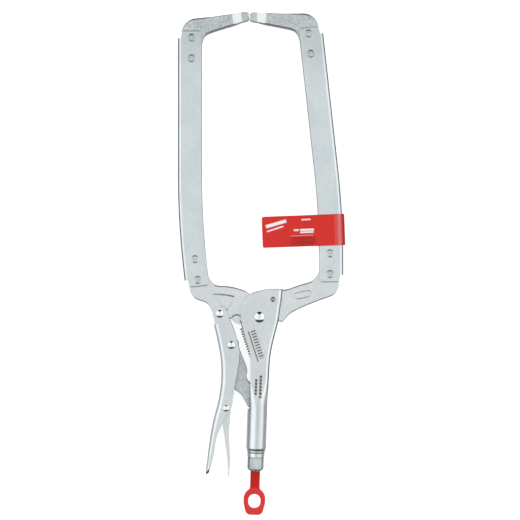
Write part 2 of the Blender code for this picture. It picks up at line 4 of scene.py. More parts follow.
import bmesh
import bpy
import numpy as np
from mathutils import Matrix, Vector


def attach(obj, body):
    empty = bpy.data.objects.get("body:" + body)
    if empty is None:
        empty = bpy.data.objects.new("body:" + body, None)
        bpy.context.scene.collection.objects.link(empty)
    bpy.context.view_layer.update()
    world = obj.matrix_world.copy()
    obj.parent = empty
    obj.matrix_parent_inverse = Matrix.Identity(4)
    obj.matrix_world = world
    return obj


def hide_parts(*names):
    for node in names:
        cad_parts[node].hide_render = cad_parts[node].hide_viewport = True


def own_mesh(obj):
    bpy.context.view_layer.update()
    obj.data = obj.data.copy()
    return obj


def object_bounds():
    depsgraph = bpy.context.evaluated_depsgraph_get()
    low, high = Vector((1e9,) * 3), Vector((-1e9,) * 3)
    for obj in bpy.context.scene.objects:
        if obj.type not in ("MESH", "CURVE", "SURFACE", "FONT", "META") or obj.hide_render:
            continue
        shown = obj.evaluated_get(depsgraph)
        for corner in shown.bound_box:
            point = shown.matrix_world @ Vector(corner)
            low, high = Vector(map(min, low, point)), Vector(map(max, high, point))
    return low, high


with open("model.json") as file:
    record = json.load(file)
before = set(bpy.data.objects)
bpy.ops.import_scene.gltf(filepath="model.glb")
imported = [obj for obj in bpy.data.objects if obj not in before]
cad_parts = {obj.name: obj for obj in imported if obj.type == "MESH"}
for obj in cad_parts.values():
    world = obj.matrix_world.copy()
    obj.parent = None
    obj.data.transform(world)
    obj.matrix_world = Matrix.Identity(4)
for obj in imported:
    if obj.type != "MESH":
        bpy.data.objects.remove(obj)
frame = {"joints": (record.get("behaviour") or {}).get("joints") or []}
cadBox = [list(corner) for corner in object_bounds()]

# Every length below is in millimetres from the main pivot: x to the fixed arm, y to the jaw tips, z up
# from the middle of the clamp's thickness.
hinges = {joint["name"]: np.array(joint["pos_m"]) for joint in frame["joints"] if joint.get("pos_m")}
pivot = hinges["jaw_swing"]
mm = 0.001

# How thick each part is, and where its pins stand. Pins that something swings on come from the joints.
thick = {"jaw": 9.5, "slot": 10.1, "arm": 15.1, "handle": 15.1, "lever": 14.1, "link": 7.0, "release": 9.0}
centres = {pin: (hinges[pin + "_swing"] - pivot)[:2] / mm for pin in ("lever", "link", "release")}
centres |= {"main": (0.0, 0.0), "headPin": (12.2, 16.0)}
centres |= {"springHole": (-17.8, -2.6), "springAnchor": (-2.0, -50.0)}


# Lines


def throughPoints(points, steps=6):
    # Catmull-Rom curve: between two points a cubic in t, and its slope at each point is half the chord
    # between the point's neighbours
    p = np.array([points[0], *points, points[-1]], float)
    t = (np.arange(steps) / steps)[None, :, None]
    a, b, c, d = (p[k : len(p) - 3 + k, None, :] for k in range(4))
    curve = (2 * b + (c - a) * t + (2 * a - 5 * b + 4 * c - d) * t**2 + (3 * b - a - 3 * c + d) * t**3) / 2
    return np.vstack([curve.reshape(-1, p.shape[1]), p[-1:]])


def arcAround(centre, radius, start, end, steps=24):
    # Points at one distance from a centre, between two angles in degrees
    angle = np.radians(np.linspace(start, end, steps + 1))
    return np.column_stack([centre[0] + radius * np.cos(angle), centre[1] + radius * np.sin(angle)])


def spaced(points, count=None, gap=None, closed=False):
    # The same line cut into equal lengths, by reading its points against its running length
    p = np.array(points, float)
    if closed:
        p = np.vstack([p, p[:1]])
    step = np.linalg.norm(np.diff(p, axis=0), axis=1)
    p = p[np.concatenate([[True], step > 1e-6])]
    run = np.concatenate([[0], np.cumsum(step[step > 1e-6])])
    count = count or max(int(run[-1] / gap), 12)
    at = np.linspace(0, run[-1], count, endpoint=not closed)
    return np.column_stack([np.interp(at, run, p[:, k]) for k in range(p.shape[1])])


def blurred(values, width):
    # A closed row averaged with a bell curve this many samples wide, through its Fourier series
    weight = np.exp(-2 * (np.pi * np.fft.fftfreq(len(values)) * width) ** 2)
    weight = weight.reshape(-1, *[1] * (values.ndim - 1))
    return np.fft.ifft(np.fft.fft(values, axis=0) * weight, axis=0).real


def eased(values, width):
    # An open row averaged with a bell curve: its ends are carried on by point reflection first
    reach = int(4 * width)
    head = 2 * values[:1] - values[reach:0:-1]
    tail = 2 * values[-1:] - values[-2 : -reach - 2 : -1]
    bell = np.exp(-0.5 * (np.arange(-reach, reach + 1) / width) ** 2)
    bell /= bell.sum()
    wide = np.concatenate([head, values, tail])
    if values.ndim == 1:
        return np.convolve(wide, bell, "valid")
    return np.column_stack([np.convolve(wide[:, k], bell, "valid") for k in range(values.shape[1])])


def blend01(x, start, end):
    # 0 before start and 1 after end, with the cubic 3t^2 - 2t^3 between
    t = np.clip((x - start) / (end - start), 0, 1)
    return t * t * (3 - 2 * t)


def outlineOf(parts, corner=0.5, gap=0.45):
    # A closed outline from its stretches, evenly spaced, run anticlockwise, its corners rounded by blurring
    line = spaced(np.vstack([np.array(part, float).reshape(-1, 2) for part in parts]), gap=gap, closed=True)
    ahead = np.roll(line, -1, 0)
    if (line[:, 0] * ahead[:, 1] - line[:, 1] * ahead[:, 0]).sum() < 0:
        line = line[::-1]
    return blurred(line, corner / gap)


def outwardOf(line):
    # The step between a point's two neighbours, turned a quarter turn clockwise
    step = np.roll(line, -1, 0) - np.roll(line, 1, 0)
    step /= np.linalg.norm(step, axis=1)[:, None]
    return np.column_stack([step[:, 1], -step[:, 0]])


# Surfaces


def gridFaces(rows, columns, closeRows=False, closeColumns=True):
    # Four-sided faces between each row and the next
    k = np.arange(rows - (not closeRows))[:, None]
    i = np.arange(columns - (not closeColumns))[None, :]
    k2 = (k + 1) % rows
    i2 = (i + 1) % columns
    corners = [k * columns + i, k * columns + i2, k2 * columns + i2, k2 * columns + i]
    return np.stack(np.broadcast_arrays(*corners), -1).reshape(-1, 4).tolist()


def meshOf(name, points, faces):
    # Millimetres from the pivot become metres in the clamp's own frame
    mesh = bpy.data.meshes.new(name)
    mesh.from_pydata(pivot + np.asarray(points, float).reshape(-1, 3) * mm, [], faces)
    return mesh


def capped(name, grid):
    # A tube of rings, closed by one flat face over each end
    rows, columns = grid.shape[:2]
    faces = gridFaces(rows, columns)
    faces.append(list(range(columns))[::-1])
    faces.append(list(range((rows - 1) * columns, rows * columns)))
    return meshOf(name, grid, faces)


def flatPiece(name, line, half, rim, steps=6, low=None):
    # Outline rings: inset = r (1 - cos a) and height = half - r (1 - sin a), so each rim is a quarter circle.
    # Where the outline itself bends out tightly, r shrinks with its bend radius.
    out = outwardOf(line)
    gap = np.linalg.norm(np.roll(line, -1, 0) - line, axis=1).mean()
    before, after = np.roll(out, 1, 0), np.roll(out, -1, 0)
    bend = (before[:, 0] * after[:, 1] - before[:, 1] * after[:, 0]) / (2 * gap)
    # Away from a tight corner it may grow by a third of the distance, so the two sides' insets never cross
    radius = np.minimum(rim * np.ones(len(line)), 0.5 / np.maximum(bend, 1e-3))
    radius = np.min([np.roll(radius, k) + 0.3 * gap * abs(k) for k in range(-16, 17)], axis=0)
    a = np.linspace(0, math.pi / 2, steps + 1)[:, None]
    inset = radius * (1 - np.cos(a))
    drop = radius * (1 - np.sin(a))
    low = -half if low is None else low
    inset = np.vstack([inset[::-1], inset])
    height = np.vstack([low + drop[::-1], half - drop])
    flat = line[None] - out[None] * inset[..., None]
    return capped(name, np.dstack([flat, height]))


def flaredCutter(name, line, bottom, top, flare, steps=5):
    # Cutter for a hole or pocket: straight walls, opening by a quarter circle of this radius at the top
    out = outwardOf(line)
    a = np.linspace(0, math.pi / 2, steps + 1)
    spread = np.concatenate([[0], flare * (1 - np.cos(a)), [flare]])
    height = np.concatenate([[bottom], top - flare + flare * np.sin(a), [top + 2]])
    flat = line[None] + out[None] * spread[:, None, None]
    level = np.broadcast_to(height[:, None, None], (*flat.shape[:2], 1))
    return capped(name, np.dstack([flat, level]))


def slopedCutter(name, line, bottom, top, slope):
    # Cutter for a pressed pocket: each wall leans out by slope millimetres from its bottom to its top
    out = outwardOf(line)
    share = np.array([0, 0.15, 0.5, 0.85, 1, 1.6])
    lean = np.array([0, 0.08, 0.5, 0.92, 1.0, 1.1]) * slope
    flat = line[None] + out[None] * lean[:, None, None]
    level = np.broadcast_to((bottom + (top - bottom) * share)[:, None, None], (*flat.shape[:2], 1))
    return capped(name, np.dstack([flat, level]))


def prism(name, line, bottom, top):
    line = np.array(line, float)
    rings = [np.column_stack([line, np.full(len(line), z)]) for z in (bottom, top)]
    return capped(name, np.array(rings))


def turnedGrid(profile, sides, place, lean=None, reach=None):
    # Each (radius, height) pair carried round a full turn; reach scales the radius by angle and row.
    # Upright pieces turn about z; the screw's pieces turn about its leaning axis.
    profile = np.array(profile, float)
    angle = np.linspace(0, 2 * math.pi, sides, endpoint=False)[None, :]
    radius = profile[:, :1] * (1 if reach is None else reach)
    x = radius * np.cos(angle)
    y = radius * np.sin(angle)
    h = profile[:, 1:] + 0 * angle
    if lean is None:
        return np.dstack([place[0] + x, place[1] + y, h])
    c, s = math.cos(lean), math.sin(lean)
    return np.dstack([place[0] + x * c + h * s, place[1] - x * s + h * c, -y])


def turned(name, profile, place, sides=64, lean=None, reach=None, closed=False):
    grid = turnedGrid(profile, sides, place, lean, reach)
    if closed:
        return meshOf(name, grid, gridFaces(len(grid), sides, closeRows=True))
    return meshOf(name, grid, gridFaces(len(grid), sides))


def channelGrid(left, right, half, leftRim, rightRim, steps=8, flats=1):
    # Rows across a formed lever. In each row s runs from its left edge to its right one and z stands up:
    # the four corners are quarter ellipses (width, height), joined by flats.
    width = np.linalg.norm(right - left, axis=1)[:, None]
    across = (right - left) / width
    half = half[:, None]
    a = np.linspace(0, math.pi / 2, steps + 1)[None, :]
    c, s = 1 - np.cos(a), 1 - np.sin(a)
    rightS, rightZ = width - rightRim[0][:, None] * c, half - rightRim[1][:, None] * s
    leftS, leftZ = leftRim[0][:, None] * c, half - leftRim[1][:, None] * s
    share = np.linspace(0, 1, flats + 1)[None, 1:-1]
    flatS = rightS[:, -1:] * (1 - share) + leftS[:, -1:] * share
    flatZ = half + 0 * share
    along = np.hstack([rightS, flatS, leftS[:, ::-1], leftS, flatS[:, ::-1], rightS[:, ::-1]])
    height = np.hstack([rightZ, flatZ, leftZ[:, ::-1], -leftZ, -flatZ, -rightZ[:, ::-1]])
    flat = left[:, None, :] + across[:, None, :] * along[..., None]
    return np.dstack([flat, height])


def strand(name, path, radius, sides=10):
    # A round wire: circles stood across the path. Their first direction is square to the path and to one
    # fixed direction, which holds as no path here runs along that one.
    path = np.array(path, float)
    ahead = np.gradient(path, axis=0)
    ahead /= np.linalg.norm(ahead, axis=1)[:, None]
    side = np.cross(ahead, np.array([0.36, 0.48, 0.8]))
    side /= np.linalg.norm(side, axis=1)[:, None]
    up = np.cross(ahead, side)
    angle = np.linspace(0, 2 * math.pi, sides, endpoint=False)[None, :, None]
    radius = (radius * np.ones(len(path)))[:, None, None]
    grid = path[:, None] + radius * (side[:, None] * np.cos(angle) + up[:, None] * np.sin(angle))
    return capped(name, grid)


# Joining, cutting and finishing


def tidied(mesh):
    edit = bmesh.new()
    edit.from_mesh(mesh)
    bmesh.ops.remove_doubles(edit, verts=edit.verts, dist=2e-6)
    bmesh.ops.dissolve_degenerate(edit, edges=edit.edges, dist=1e-6)
    bmesh.ops.recalc_face_normals(edit, faces=edit.faces)
    edit.to_mesh(mesh)
    edit.free()
    return mesh


def trianglesOnly(mesh):
    # Splits the many-sided faces at a larger scale, where their corners stand far enough apart
    edit = bmesh.new()
    edit.from_mesh(mesh)
    bmesh.ops.scale(edit, vec=(1 / mm, 1 / mm, 1 / mm), verts=edit.verts)
    bmesh.ops.triangulate(edit, faces=[face for face in edit.faces if len(face.verts) > 4])
    bmesh.ops.scale(edit, vec=(mm, mm, mm), verts=edit.verts)
    edit.to_mesh(mesh)
    edit.free()
    return mesh


def carved(mesh, cutters):
    # Takes each cutter's solid out of the piece
    piece = bpy.data.objects.new(mesh.name + "_work", trianglesOnly(tidied(mesh)))
    bpy.context.scene.collection.objects.link(piece)
    helpers = []
    for cutter in cutters:
        helper = bpy.data.objects.new(cutter.name, trianglesOnly(tidied(cutter)))
        bpy.context.scene.collection.objects.link(helper)
        modifier = piece.modifiers.new(cutter.name, "BOOLEAN")
        modifier.operation = "DIFFERENCE"
        modifier.solver = "MANIFOLD"
        modifier.object = helper
        helpers.append(helper)
    bpy.context.view_layer.update()
    done = bpy.data.meshes.new_from_object(piece.evaluated_get(bpy.context.evaluated_depsgraph_get()))
    for helper in [piece, *helpers]:
        bpy.data.objects.remove(helper, do_unlink=True)
    done.name = mesh.name
    return trianglesOnly(done)


def cornersOf(mesh):
    # Millimetres from the pivot of every corner of the mesh
    points = np.empty(len(mesh.vertices) * 3)
    mesh.vertices.foreach_get("co", points)
    return (points.reshape(-1, 3) - pivot) / mm


def carriedMesh(mesh, carry):
    # Moves every corner of a mesh by a rule on its millimetres
    mesh.vertices.foreach_set("co", (pivot + carry(cornersOf(mesh)) * mm).ravel())
    return mesh


def turnedOver(points):
    return points * (1, 1, -1)


def marked(mesh, name, values):
    mesh.attributes.new(name, "FLOAT", "POINT").data.foreach_set("value", np.asarray(values, np.float32))
    return mesh


def finished(name, mesh, body, nodes, finishes, sharp=32):
    # Puts the piece on its body, with soft shading over its rims and crisp edges elsewhere
    trianglesOnly(tidied(mesh))
    mesh.name = name
    mesh.polygons.foreach_set("use_smooth", np.ones(len(mesh.polygons), bool))
    mesh.set_sharp_from_angle(angle=math.radians(sharp))
    piece = bpy.data.objects.new(name, mesh)
    bpy.context.scene.collection.objects.link(piece)
    finishOf = np.empty(len(mesh.polygons), np.int32)
    mesh.polygons.foreach_get("material_index", finishOf)
    mesh.materials.clear()
    for finish in finishes:
        mesh.materials.append(finish)
    mesh.polygons.foreach_set("material_index", np.minimum(finishOf, len(finishes) - 1))
    weights = piece.modifiers.new("flat faces stay flat", "WEIGHTED_NORMAL")
    weights.keep_sharp = True
    weights.weight = 60
    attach(piece, body)
    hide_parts(*nodes)
    return piece


# Finishes


def metalFinish(name, look):
    # Plated, cast, ground and polished metal: blotches, speckle, brush marks and painted shade over one metal
    # shader
    material = bpy.data.materials.new(name)
    material.use_nodes = True
    nodes, links = material.node_tree.nodes, material.node_tree.links
    nodes.clear()
    surface = nodes.new("ShaderNodeOutputMaterial")
    surface.label = "surface"
    metal = nodes.new("ShaderNodeBsdfPrincipled")
    metal.label = "metal under its plating"
    metal.inputs["Metallic"].default_value = look.get("metallic", 1.0)
    metal.inputs["Coat Weight"].default_value = look.get("coat", 0.0)
    metal.inputs["Coat Roughness"].default_value = 0.12
    place = nodes.new("ShaderNodeTexCoord")
    place.label = "place on the clamp"

    colourFrame = nodes.new("NodeFrame")
    colourFrame.label = "colour: plating blotches, specks, marks and painted shade"
    blotch = nodes.new("ShaderNodeTexNoise")
    blotch.label = "slow blotches in the plating"
    blotch.inputs["Scale"].default_value = look.get("blotch", 42)
    blotch.inputs["Detail"].default_value = 3
    blotch.inputs["Roughness"].default_value = 0.6
    tints = nodes.new("ShaderNodeValToRGB")
    tints.label = "two plating tints"
    tints.color_ramp.elements[0].position = 0.32
    tints.color_ramp.elements[0].color = (*look["dark"], 1)
    tints.color_ramp.elements[1].position = 0.68
    tints.color_ramp.elements[1].color = (*look["light"], 1)
    grain = nodes.new("ShaderNodeTexNoise")
    grain.label = "fine grain of the sheet"
    grain.inputs["Scale"].default_value = look.get("grainScale", 700)
    grain.inputs["Detail"].default_value = 4
    grain.inputs["Roughness"].default_value = 0.7
    specks = nodes.new("ShaderNodeValToRGB")
    specks.label = "how dark the specks are"
    specks.color_ramp.elements[0].position = 0.34
    speckTone = 1 - look.get("speck", 0.12)
    specks.color_ramp.elements[0].color = (speckTone, speckTone, speckTone, 1)
    specks.color_ramp.elements[1].position = 0.62
    specks.color_ramp.elements[1].color = (1, 1, 1, 1)
    speckled = nodes.new("ShaderNodeMix")
    speckled.label = "specks over blotches"
    speckled.data_type = "RGBA"
    speckled.blend_type = "MULTIPLY"
    speckled.inputs["Factor"].default_value = 1.0
    markedColour = nodes.new("ShaderNodeMix")
    markedColour.label = "burnt-in marks"
    markedColour.data_type = "RGBA"
    markedColour.inputs["B"].default_value = (0.13, 0.115, 0.075, 1)
    marks = nodes.new("ShaderNodeAttribute")
    marks.label = "where the marks are"
    marks.attribute_name = "etched"
    # Painted shade: a dark grey mixed into the colour wherever the mesh's shade attribute is set
    shadedColour = nodes.new("ShaderNodeMix")
    shadedColour.label = "painted shade on the outer turn of a bend"
    shadedColour.data_type = "RGBA"
    shadedColour.inputs["B"].default_value = (0.17, 0.18, 0.19, 1)
    shades = nodes.new("ShaderNodeAttribute")
    shades.label = "where shade is painted"
    shades.attribute_name = "paintedShade"
    for node in (blotch, tints, grain, specks, speckled, markedColour, marks, shadedColour, shades):
        node.parent = colourFrame

    brushFrame = nodes.new("NodeFrame")
    brushFrame.label = "gloss: brush marks"
    stretch = nodes.new("ShaderNodeMapping")
    stretch.label = "draw the noise out along the brushing"
    stretch.inputs["Location"].default_value = tuple(-pivot)
    stretch.inputs["Rotation"].default_value = (0, 0, look.get("turn", 0.0))
    stretch.inputs["Scale"].default_value = look.get("brush", (900, 45, 900))
    streaks = nodes.new("ShaderNodeTexNoise")
    streaks.label = "brush marks"
    streaks.inputs["Scale"].default_value = 1.0
    streaks.inputs["Detail"].default_value = 3
    gloss = nodes.new("ShaderNodeMapRange")
    gloss.label = "roughness in the marks"
    gloss.inputs["From Min"].default_value = 0.3
    gloss.inputs["From Max"].default_value = 0.7
    gloss.inputs["To Min"].default_value = look["rough"] * 0.85
    gloss.inputs["To Max"].default_value = look["rough"] * 1.2
    roughMarks = nodes.new("ShaderNodeMath")
    roughMarks.label = "marks are matt"
    roughMarks.operation = "MULTIPLY_ADD"
    roughMarks.inputs[1].default_value = 0.3
    for node in (stretch, streaks, gloss, roughMarks):
        node.parent = brushFrame

    reliefFrame = nodes.new("NodeFrame")
    reliefFrame.label = "relief: grain under brush marks"
    grainBump = nodes.new("ShaderNodeBump")
    grainBump.label = "grain relief"
    grainBump.inputs["Strength"].default_value = look.get("grainRelief", 0.12)
    grainBump.inputs["Distance"].default_value = 0.0004
    brushBump = nodes.new("ShaderNodeBump")
    brushBump.label = "brush relief"
    brushBump.inputs["Strength"].default_value = look.get("brushRelief", 0.05)
    brushBump.inputs["Distance"].default_value = 0.0003
    for node in (grainBump, brushBump):
        node.parent = reliefFrame

    links.new(place.outputs["Object"], blotch.inputs["Vector"])
    links.new(place.outputs["Object"], grain.inputs["Vector"])
    links.new(place.outputs["Object"], stretch.inputs["Vector"])
    links.new(blotch.outputs["Fac"], tints.inputs["Fac"])
    links.new(grain.outputs["Fac"], specks.inputs["Fac"])
    links.new(tints.outputs["Color"], speckled.inputs["A"])
    links.new(specks.outputs["Color"], speckled.inputs["B"])
    links.new(speckled.outputs["Result"], markedColour.inputs["A"])
    links.new(marks.outputs["Fac"], markedColour.inputs["Factor"])
    links.new(markedColour.outputs["Result"], shadedColour.inputs["A"])
    links.new(shades.outputs["Fac"], shadedColour.inputs["Factor"])
    links.new(shadedColour.outputs["Result"], metal.inputs["Base Color"])
    links.new(stretch.outputs["Vector"], streaks.inputs["Vector"])
    links.new(streaks.outputs["Fac"], gloss.inputs["Value"])
    links.new(gloss.outputs["Result"], roughMarks.inputs[2])
    links.new(marks.outputs["Fac"], roughMarks.inputs[0])
    links.new(roughMarks.outputs["Value"], metal.inputs["Roughness"])
    links.new(grain.outputs["Fac"], grainBump.inputs["Height"])
    links.new(streaks.outputs["Fac"], brushBump.inputs["Height"])
    links.new(grainBump.outputs["Normal"], brushBump.inputs["Normal"])
    links.new(brushBump.outputs["Normal"], metal.inputs["Normal"])
    links.new(metal.outputs["BSDF"], surface.inputs["Surface"])
    laidOut = [place, stretch, blotch, grain, streaks, marks, tints, specks, gloss, speckled, markedColour]
    laidOut += [shades, shadedColour, roughMarks, grainBump, brushBump, metal, surface]
    columns = [0, 1, 1, 1, 2, 2, 2, 2, 3, 3, 4, 4, 5, 4, 4, 5, 6, 7]
    for k, (node, column) in enumerate(zip(laidOut, columns)):
        node.location = (column * 240 - 900, 420 - 260 * (k % 4))
    return material


def redFinish(name, look):
    # Powder coat and coated card: an even red that drifts slowly, with fine relief, print, painted shade and a
    # painted highlight
    material = bpy.data.materials.new(name)
    material.use_nodes = True
    nodes, links = material.node_tree.nodes, material.node_tree.links
    nodes.clear()
    surface = nodes.new("ShaderNodeOutputMaterial")
    surface.label = "surface"
    coat = nodes.new("ShaderNodeBsdfPrincipled")
    coat.label = "red coat"
    coat.inputs["Specular IOR Level"].default_value = look["shine"]
    coat.inputs["Coat Weight"].default_value = look["coat"]
    coat.inputs["Coat Roughness"].default_value = look["coatRough"]
    place = nodes.new("ShaderNodeTexCoord")
    place.label = "place on the clamp"

    colourFrame = nodes.new("NodeFrame")
    colourFrame.label = "colour: tint, shade and print"
    drift = nodes.new("ShaderNodeTexNoise")
    drift.label = "slow tint change"
    drift.inputs["Scale"].default_value = look["driftScale"]
    drift.inputs["Detail"].default_value = 2
    tints = nodes.new("ShaderNodeValToRGB")
    tints.label = "two reds"
    tints.color_ramp.elements[0].position = 0.3
    tints.color_ramp.elements[0].color = (*look["dark"], 1)
    tints.color_ramp.elements[1].position = 0.7
    tints.color_ramp.elements[1].color = (*look["light"], 1)
    # Dark print and painted shade: the deep red mixed in where the mesh asks for it
    shadeAt = nodes.new("ShaderNodeAttribute")
    shadeAt.label = "where dark print and painted shade are"
    shadeAt.attribute_name = "darkPrintAndShade"
    shaded = nodes.new("ShaderNodeMix")
    shaded.label = "red of dark print and painted shade"
    shaded.data_type = "RGBA"
    shaded.inputs["B"].default_value = (*look["deep"], 1)
    # White print, and a painted highlight on the card, mixed in where the mesh asks for it
    printAt = nodes.new("ShaderNodeAttribute")
    printAt.label = "where the white print and painted highlight are"
    printAt.attribute_name = "whitePrintAndHighlight"
    printed = nodes.new("ShaderNodeMix")
    printed.label = "white print and painted highlight"
    printed.data_type = "RGBA"
    printed.inputs["B"].default_value = (0.93, 0.90, 0.90, 1)
    for node in (drift, tints, shadeAt, shaded, printAt, printed):
        node.parent = colourFrame

    reliefFrame = nodes.new("NodeFrame")
    reliefFrame.label = "gloss and relief of the coat"
    peel = nodes.new("ShaderNodeTexNoise")
    peel.label = "fine unevenness"
    peel.inputs["Scale"].default_value = look["peelScale"]
    peel.inputs["Detail"].default_value = 3
    gloss = nodes.new("ShaderNodeMapRange")
    gloss.label = "roughness"
    gloss.inputs["To Min"].default_value = look["rough"] * 0.85
    gloss.inputs["To Max"].default_value = look["rough"] * 1.15
    peelBump = nodes.new("ShaderNodeBump")
    peelBump.label = "relief"
    peelBump.inputs["Strength"].default_value = look["relief"]
    peelBump.inputs["Distance"].default_value = 0.0004
    for node in (peel, gloss, peelBump):
        node.parent = reliefFrame

    links.new(place.outputs["Object"], drift.inputs["Vector"])
    links.new(place.outputs["Object"], peel.inputs["Vector"])
    links.new(drift.outputs["Fac"], tints.inputs["Fac"])
    links.new(tints.outputs["Color"], shaded.inputs["A"])
    links.new(shadeAt.outputs["Fac"], shaded.inputs["Factor"])
    links.new(shaded.outputs["Result"], printed.inputs["A"])
    links.new(printAt.outputs["Fac"], printed.inputs["Factor"])
    links.new(printed.outputs["Result"], coat.inputs["Base Color"])
    links.new(peel.outputs["Fac"], gloss.inputs["Value"])
    links.new(gloss.outputs["Result"], coat.inputs["Roughness"])
    links.new(peel.outputs["Fac"], peelBump.inputs["Height"])
    links.new(peelBump.outputs["Normal"], coat.inputs["Normal"])
    links.new(coat.outputs["BSDF"], surface.inputs["Surface"])
    laidOut = [place, drift, peel, shadeAt, printAt, tints, gloss, shaded, peelBump, printed, coat, surface]
    columns = [0, 1, 1, 2, 3, 2, 3, 3, 4, 4, 5, 6]
    for k, (node, column) in enumerate(zip(laidOut, columns)):
        node.location = (column * 240 - 700, 360 - 260 * (k % 3))
    return material


platedLook = {"dark": (0.66, 0.745, 0.765), "light": (0.755, 0.81, 0.815), "rough": 0.33, "speck": 0.10}
platedLook |= {"grainRelief": 0.10, "brushRelief": 0.04}
plated = metalFinish("plated steel", platedLook)
leverLook = platedLook | {"dark": (0.69, 0.755, 0.775), "light": (0.78, 0.815, 0.82), "rough": 0.28}
formed = metalFinish("formed plated steel", leverLook)
castLook = {"dark": (0.60, 0.66, 0.665), "light": (0.72, 0.76, 0.77), "rough": 0.42, "speck": 0.36}
castLook |= {"grainScale": 620, "grainRelief": 0.35, "brushRelief": 0.02, "blotch": 90}
cast = metalFinish("cast plated steel", castLook)
forgedLook = {"dark": (0.72, 0.775, 0.78), "light": (0.80, 0.83, 0.835), "rough": 0.34, "speck": 0.14}
forged = metalFinish("forged plated steel", forgedLook | {"grainRelief": 0.16})
groundLook = {"dark": (0.70, 0.735, 0.745), "light": (0.78, 0.80, 0.805), "rough": 0.25, "speck": 0.04}
ground = metalFinish("ground steel", groundLook | {"brush": (60, 1400, 900), "brushRelief": 0.10})
# Painted shade: a darker copy of the steel for the link, which sits recessed between the handles; the nose pad
# wears it too
shadedLinkLook = {"dark": (0.51, 0.55, 0.575), "light": (0.65, 0.69, 0.72), "rough": 0.40, "speck": 0.30}
shadedLinkSteel = metalFinish("link steel darkened as painted shade", shadedLinkLook | {"grainScale": 520, "grainRelief": 0.25, "blotch": 110})
rivetLook = {"dark": (0.84, 0.85, 0.87), "light": (0.90, 0.91, 0.92), "rough": 0.13, "speck": 0.04}
rivetSteel = metalFinish("polished rivet steel", rivetLook | {"grainRelief": 0.01, "brushRelief": 0.006})
dimpleLook = {"dark": (0.55, 0.61, 0.615), "light": (0.66, 0.71, 0.715), "rough": 0.30, "speck": 0.22}
dimpleSteel = metalFinish("set rivet steel", dimpleLook | {"grainRelief": 0.2})
springLook = {"dark": (0.34, 0.34, 0.33), "light": (0.50, 0.50, 0.49), "rough": 0.25, "speck": 0.15}
springSteel = metalFinish("spring steel", springLook)
# The ring's deep red is painted shade for its neck and the arc under it
ringRed = redFinish("red ring coat", {
    "dark": (0.72, 0.034, 0.031), "light": (0.78, 0.042, 0.038), "deep": (0.53, 0.008, 0.006), "shine": 0.22,
    "coat": 0.0, "coatRough": 0.3, "driftScale": 60, "peelScale": 900, "rough": 0.42, "relief": 0.12,
})
# The card's deep red is its dark print and the painted shade over its fold
cardRed = redFinish("red card", {
    "dark": (0.64, 0.022, 0.015), "light": (0.68, 0.026, 0.018), "deep": (0.28, 0.006, 0.005), "shine": 0.26,
    "coat": 0.0, "coatRough": 0.22, "driftScale": 35, "peelScale": 1600, "rough": 0.38, "relief": 0.03,
})
print("finishes ready")


# Arms

# The channel's middle line, its half width and sheet, and the notch that steps its outer edge in at both ends
armSet = {
    "foot": (65.2, 31.6), "straight": 20.0, "bendRadius": 740.0, "bend": math.radians(6.3), "long": 231.35,
    "half": 10.7, "sheet": 2.5, "bendWide": 3.4, "edge": 0.45, "corner": 2.2, "notch": 3.1, "notchLong": 6.5,
    "holeRadius": 3.42, "holeFlare": 0.28, "slotCorner": 1.2,
}
# The rivets set into its cheeks: radius, and how far the lower and upper pairs are sunk
sunkSet = {"radius": 3.41, "lower": 0.35, "upper": 1.25}
fixedHoles = [(63.7, 38.9), (63.7, 57.5), (46.4, 237.9), (44.2, 256.2)]
movingHoles = [(-55.6, 33.6), (-58.2, 52.3), (-61.4, 233.8), (-61.2, 252.4)]
leftShift = (11.8, 3.3)
leftTipShift = (11.6, 1.5)


def toLeft(points, shift=leftShift):
    # The fixed arm mirrored left to right, turned by the arm's own bend, and moved
    p = np.asarray(points, float)
    c, s = math.cos(armSet["bend"]), math.sin(armSet["bend"])
    x = -p[..., 0] * c - p[..., 1] * s + shift[0]
    y = -p[..., 0] * s + p[..., 1] * c + shift[1]
    flat = np.stack([x, y], -1)
    return flat if p.shape[-1] == 2 else np.concatenate([flat, p[..., 2:]], -1)


def toLeftTip(points):
    return toLeft(points, leftTipShift)


def asIs(points):
    return np.asarray(points, float)


def armMiddle(d):
    # The arm's middle line at a distance d from its foot: straight, then a long arc, then straight
    turn = np.clip((d - armSet["straight"]) / armSet["bendRadius"], 0, armSet["bend"])
    rest = np.maximum(d - armSet["straight"] - armSet["bendRadius"] * armSet["bend"], 0)
    x = armSet["foot"][0] - armSet["bendRadius"] * (1 - np.cos(turn)) - rest * np.sin(turn)
    y = armSet["foot"][1] + np.minimum(d, armSet["straight"]) + armSet["bendRadius"] * np.sin(turn)
    y = y + rest * np.cos(turn)
    return np.column_stack([x, y]), np.column_stack([np.cos(turn), np.sin(turn)])


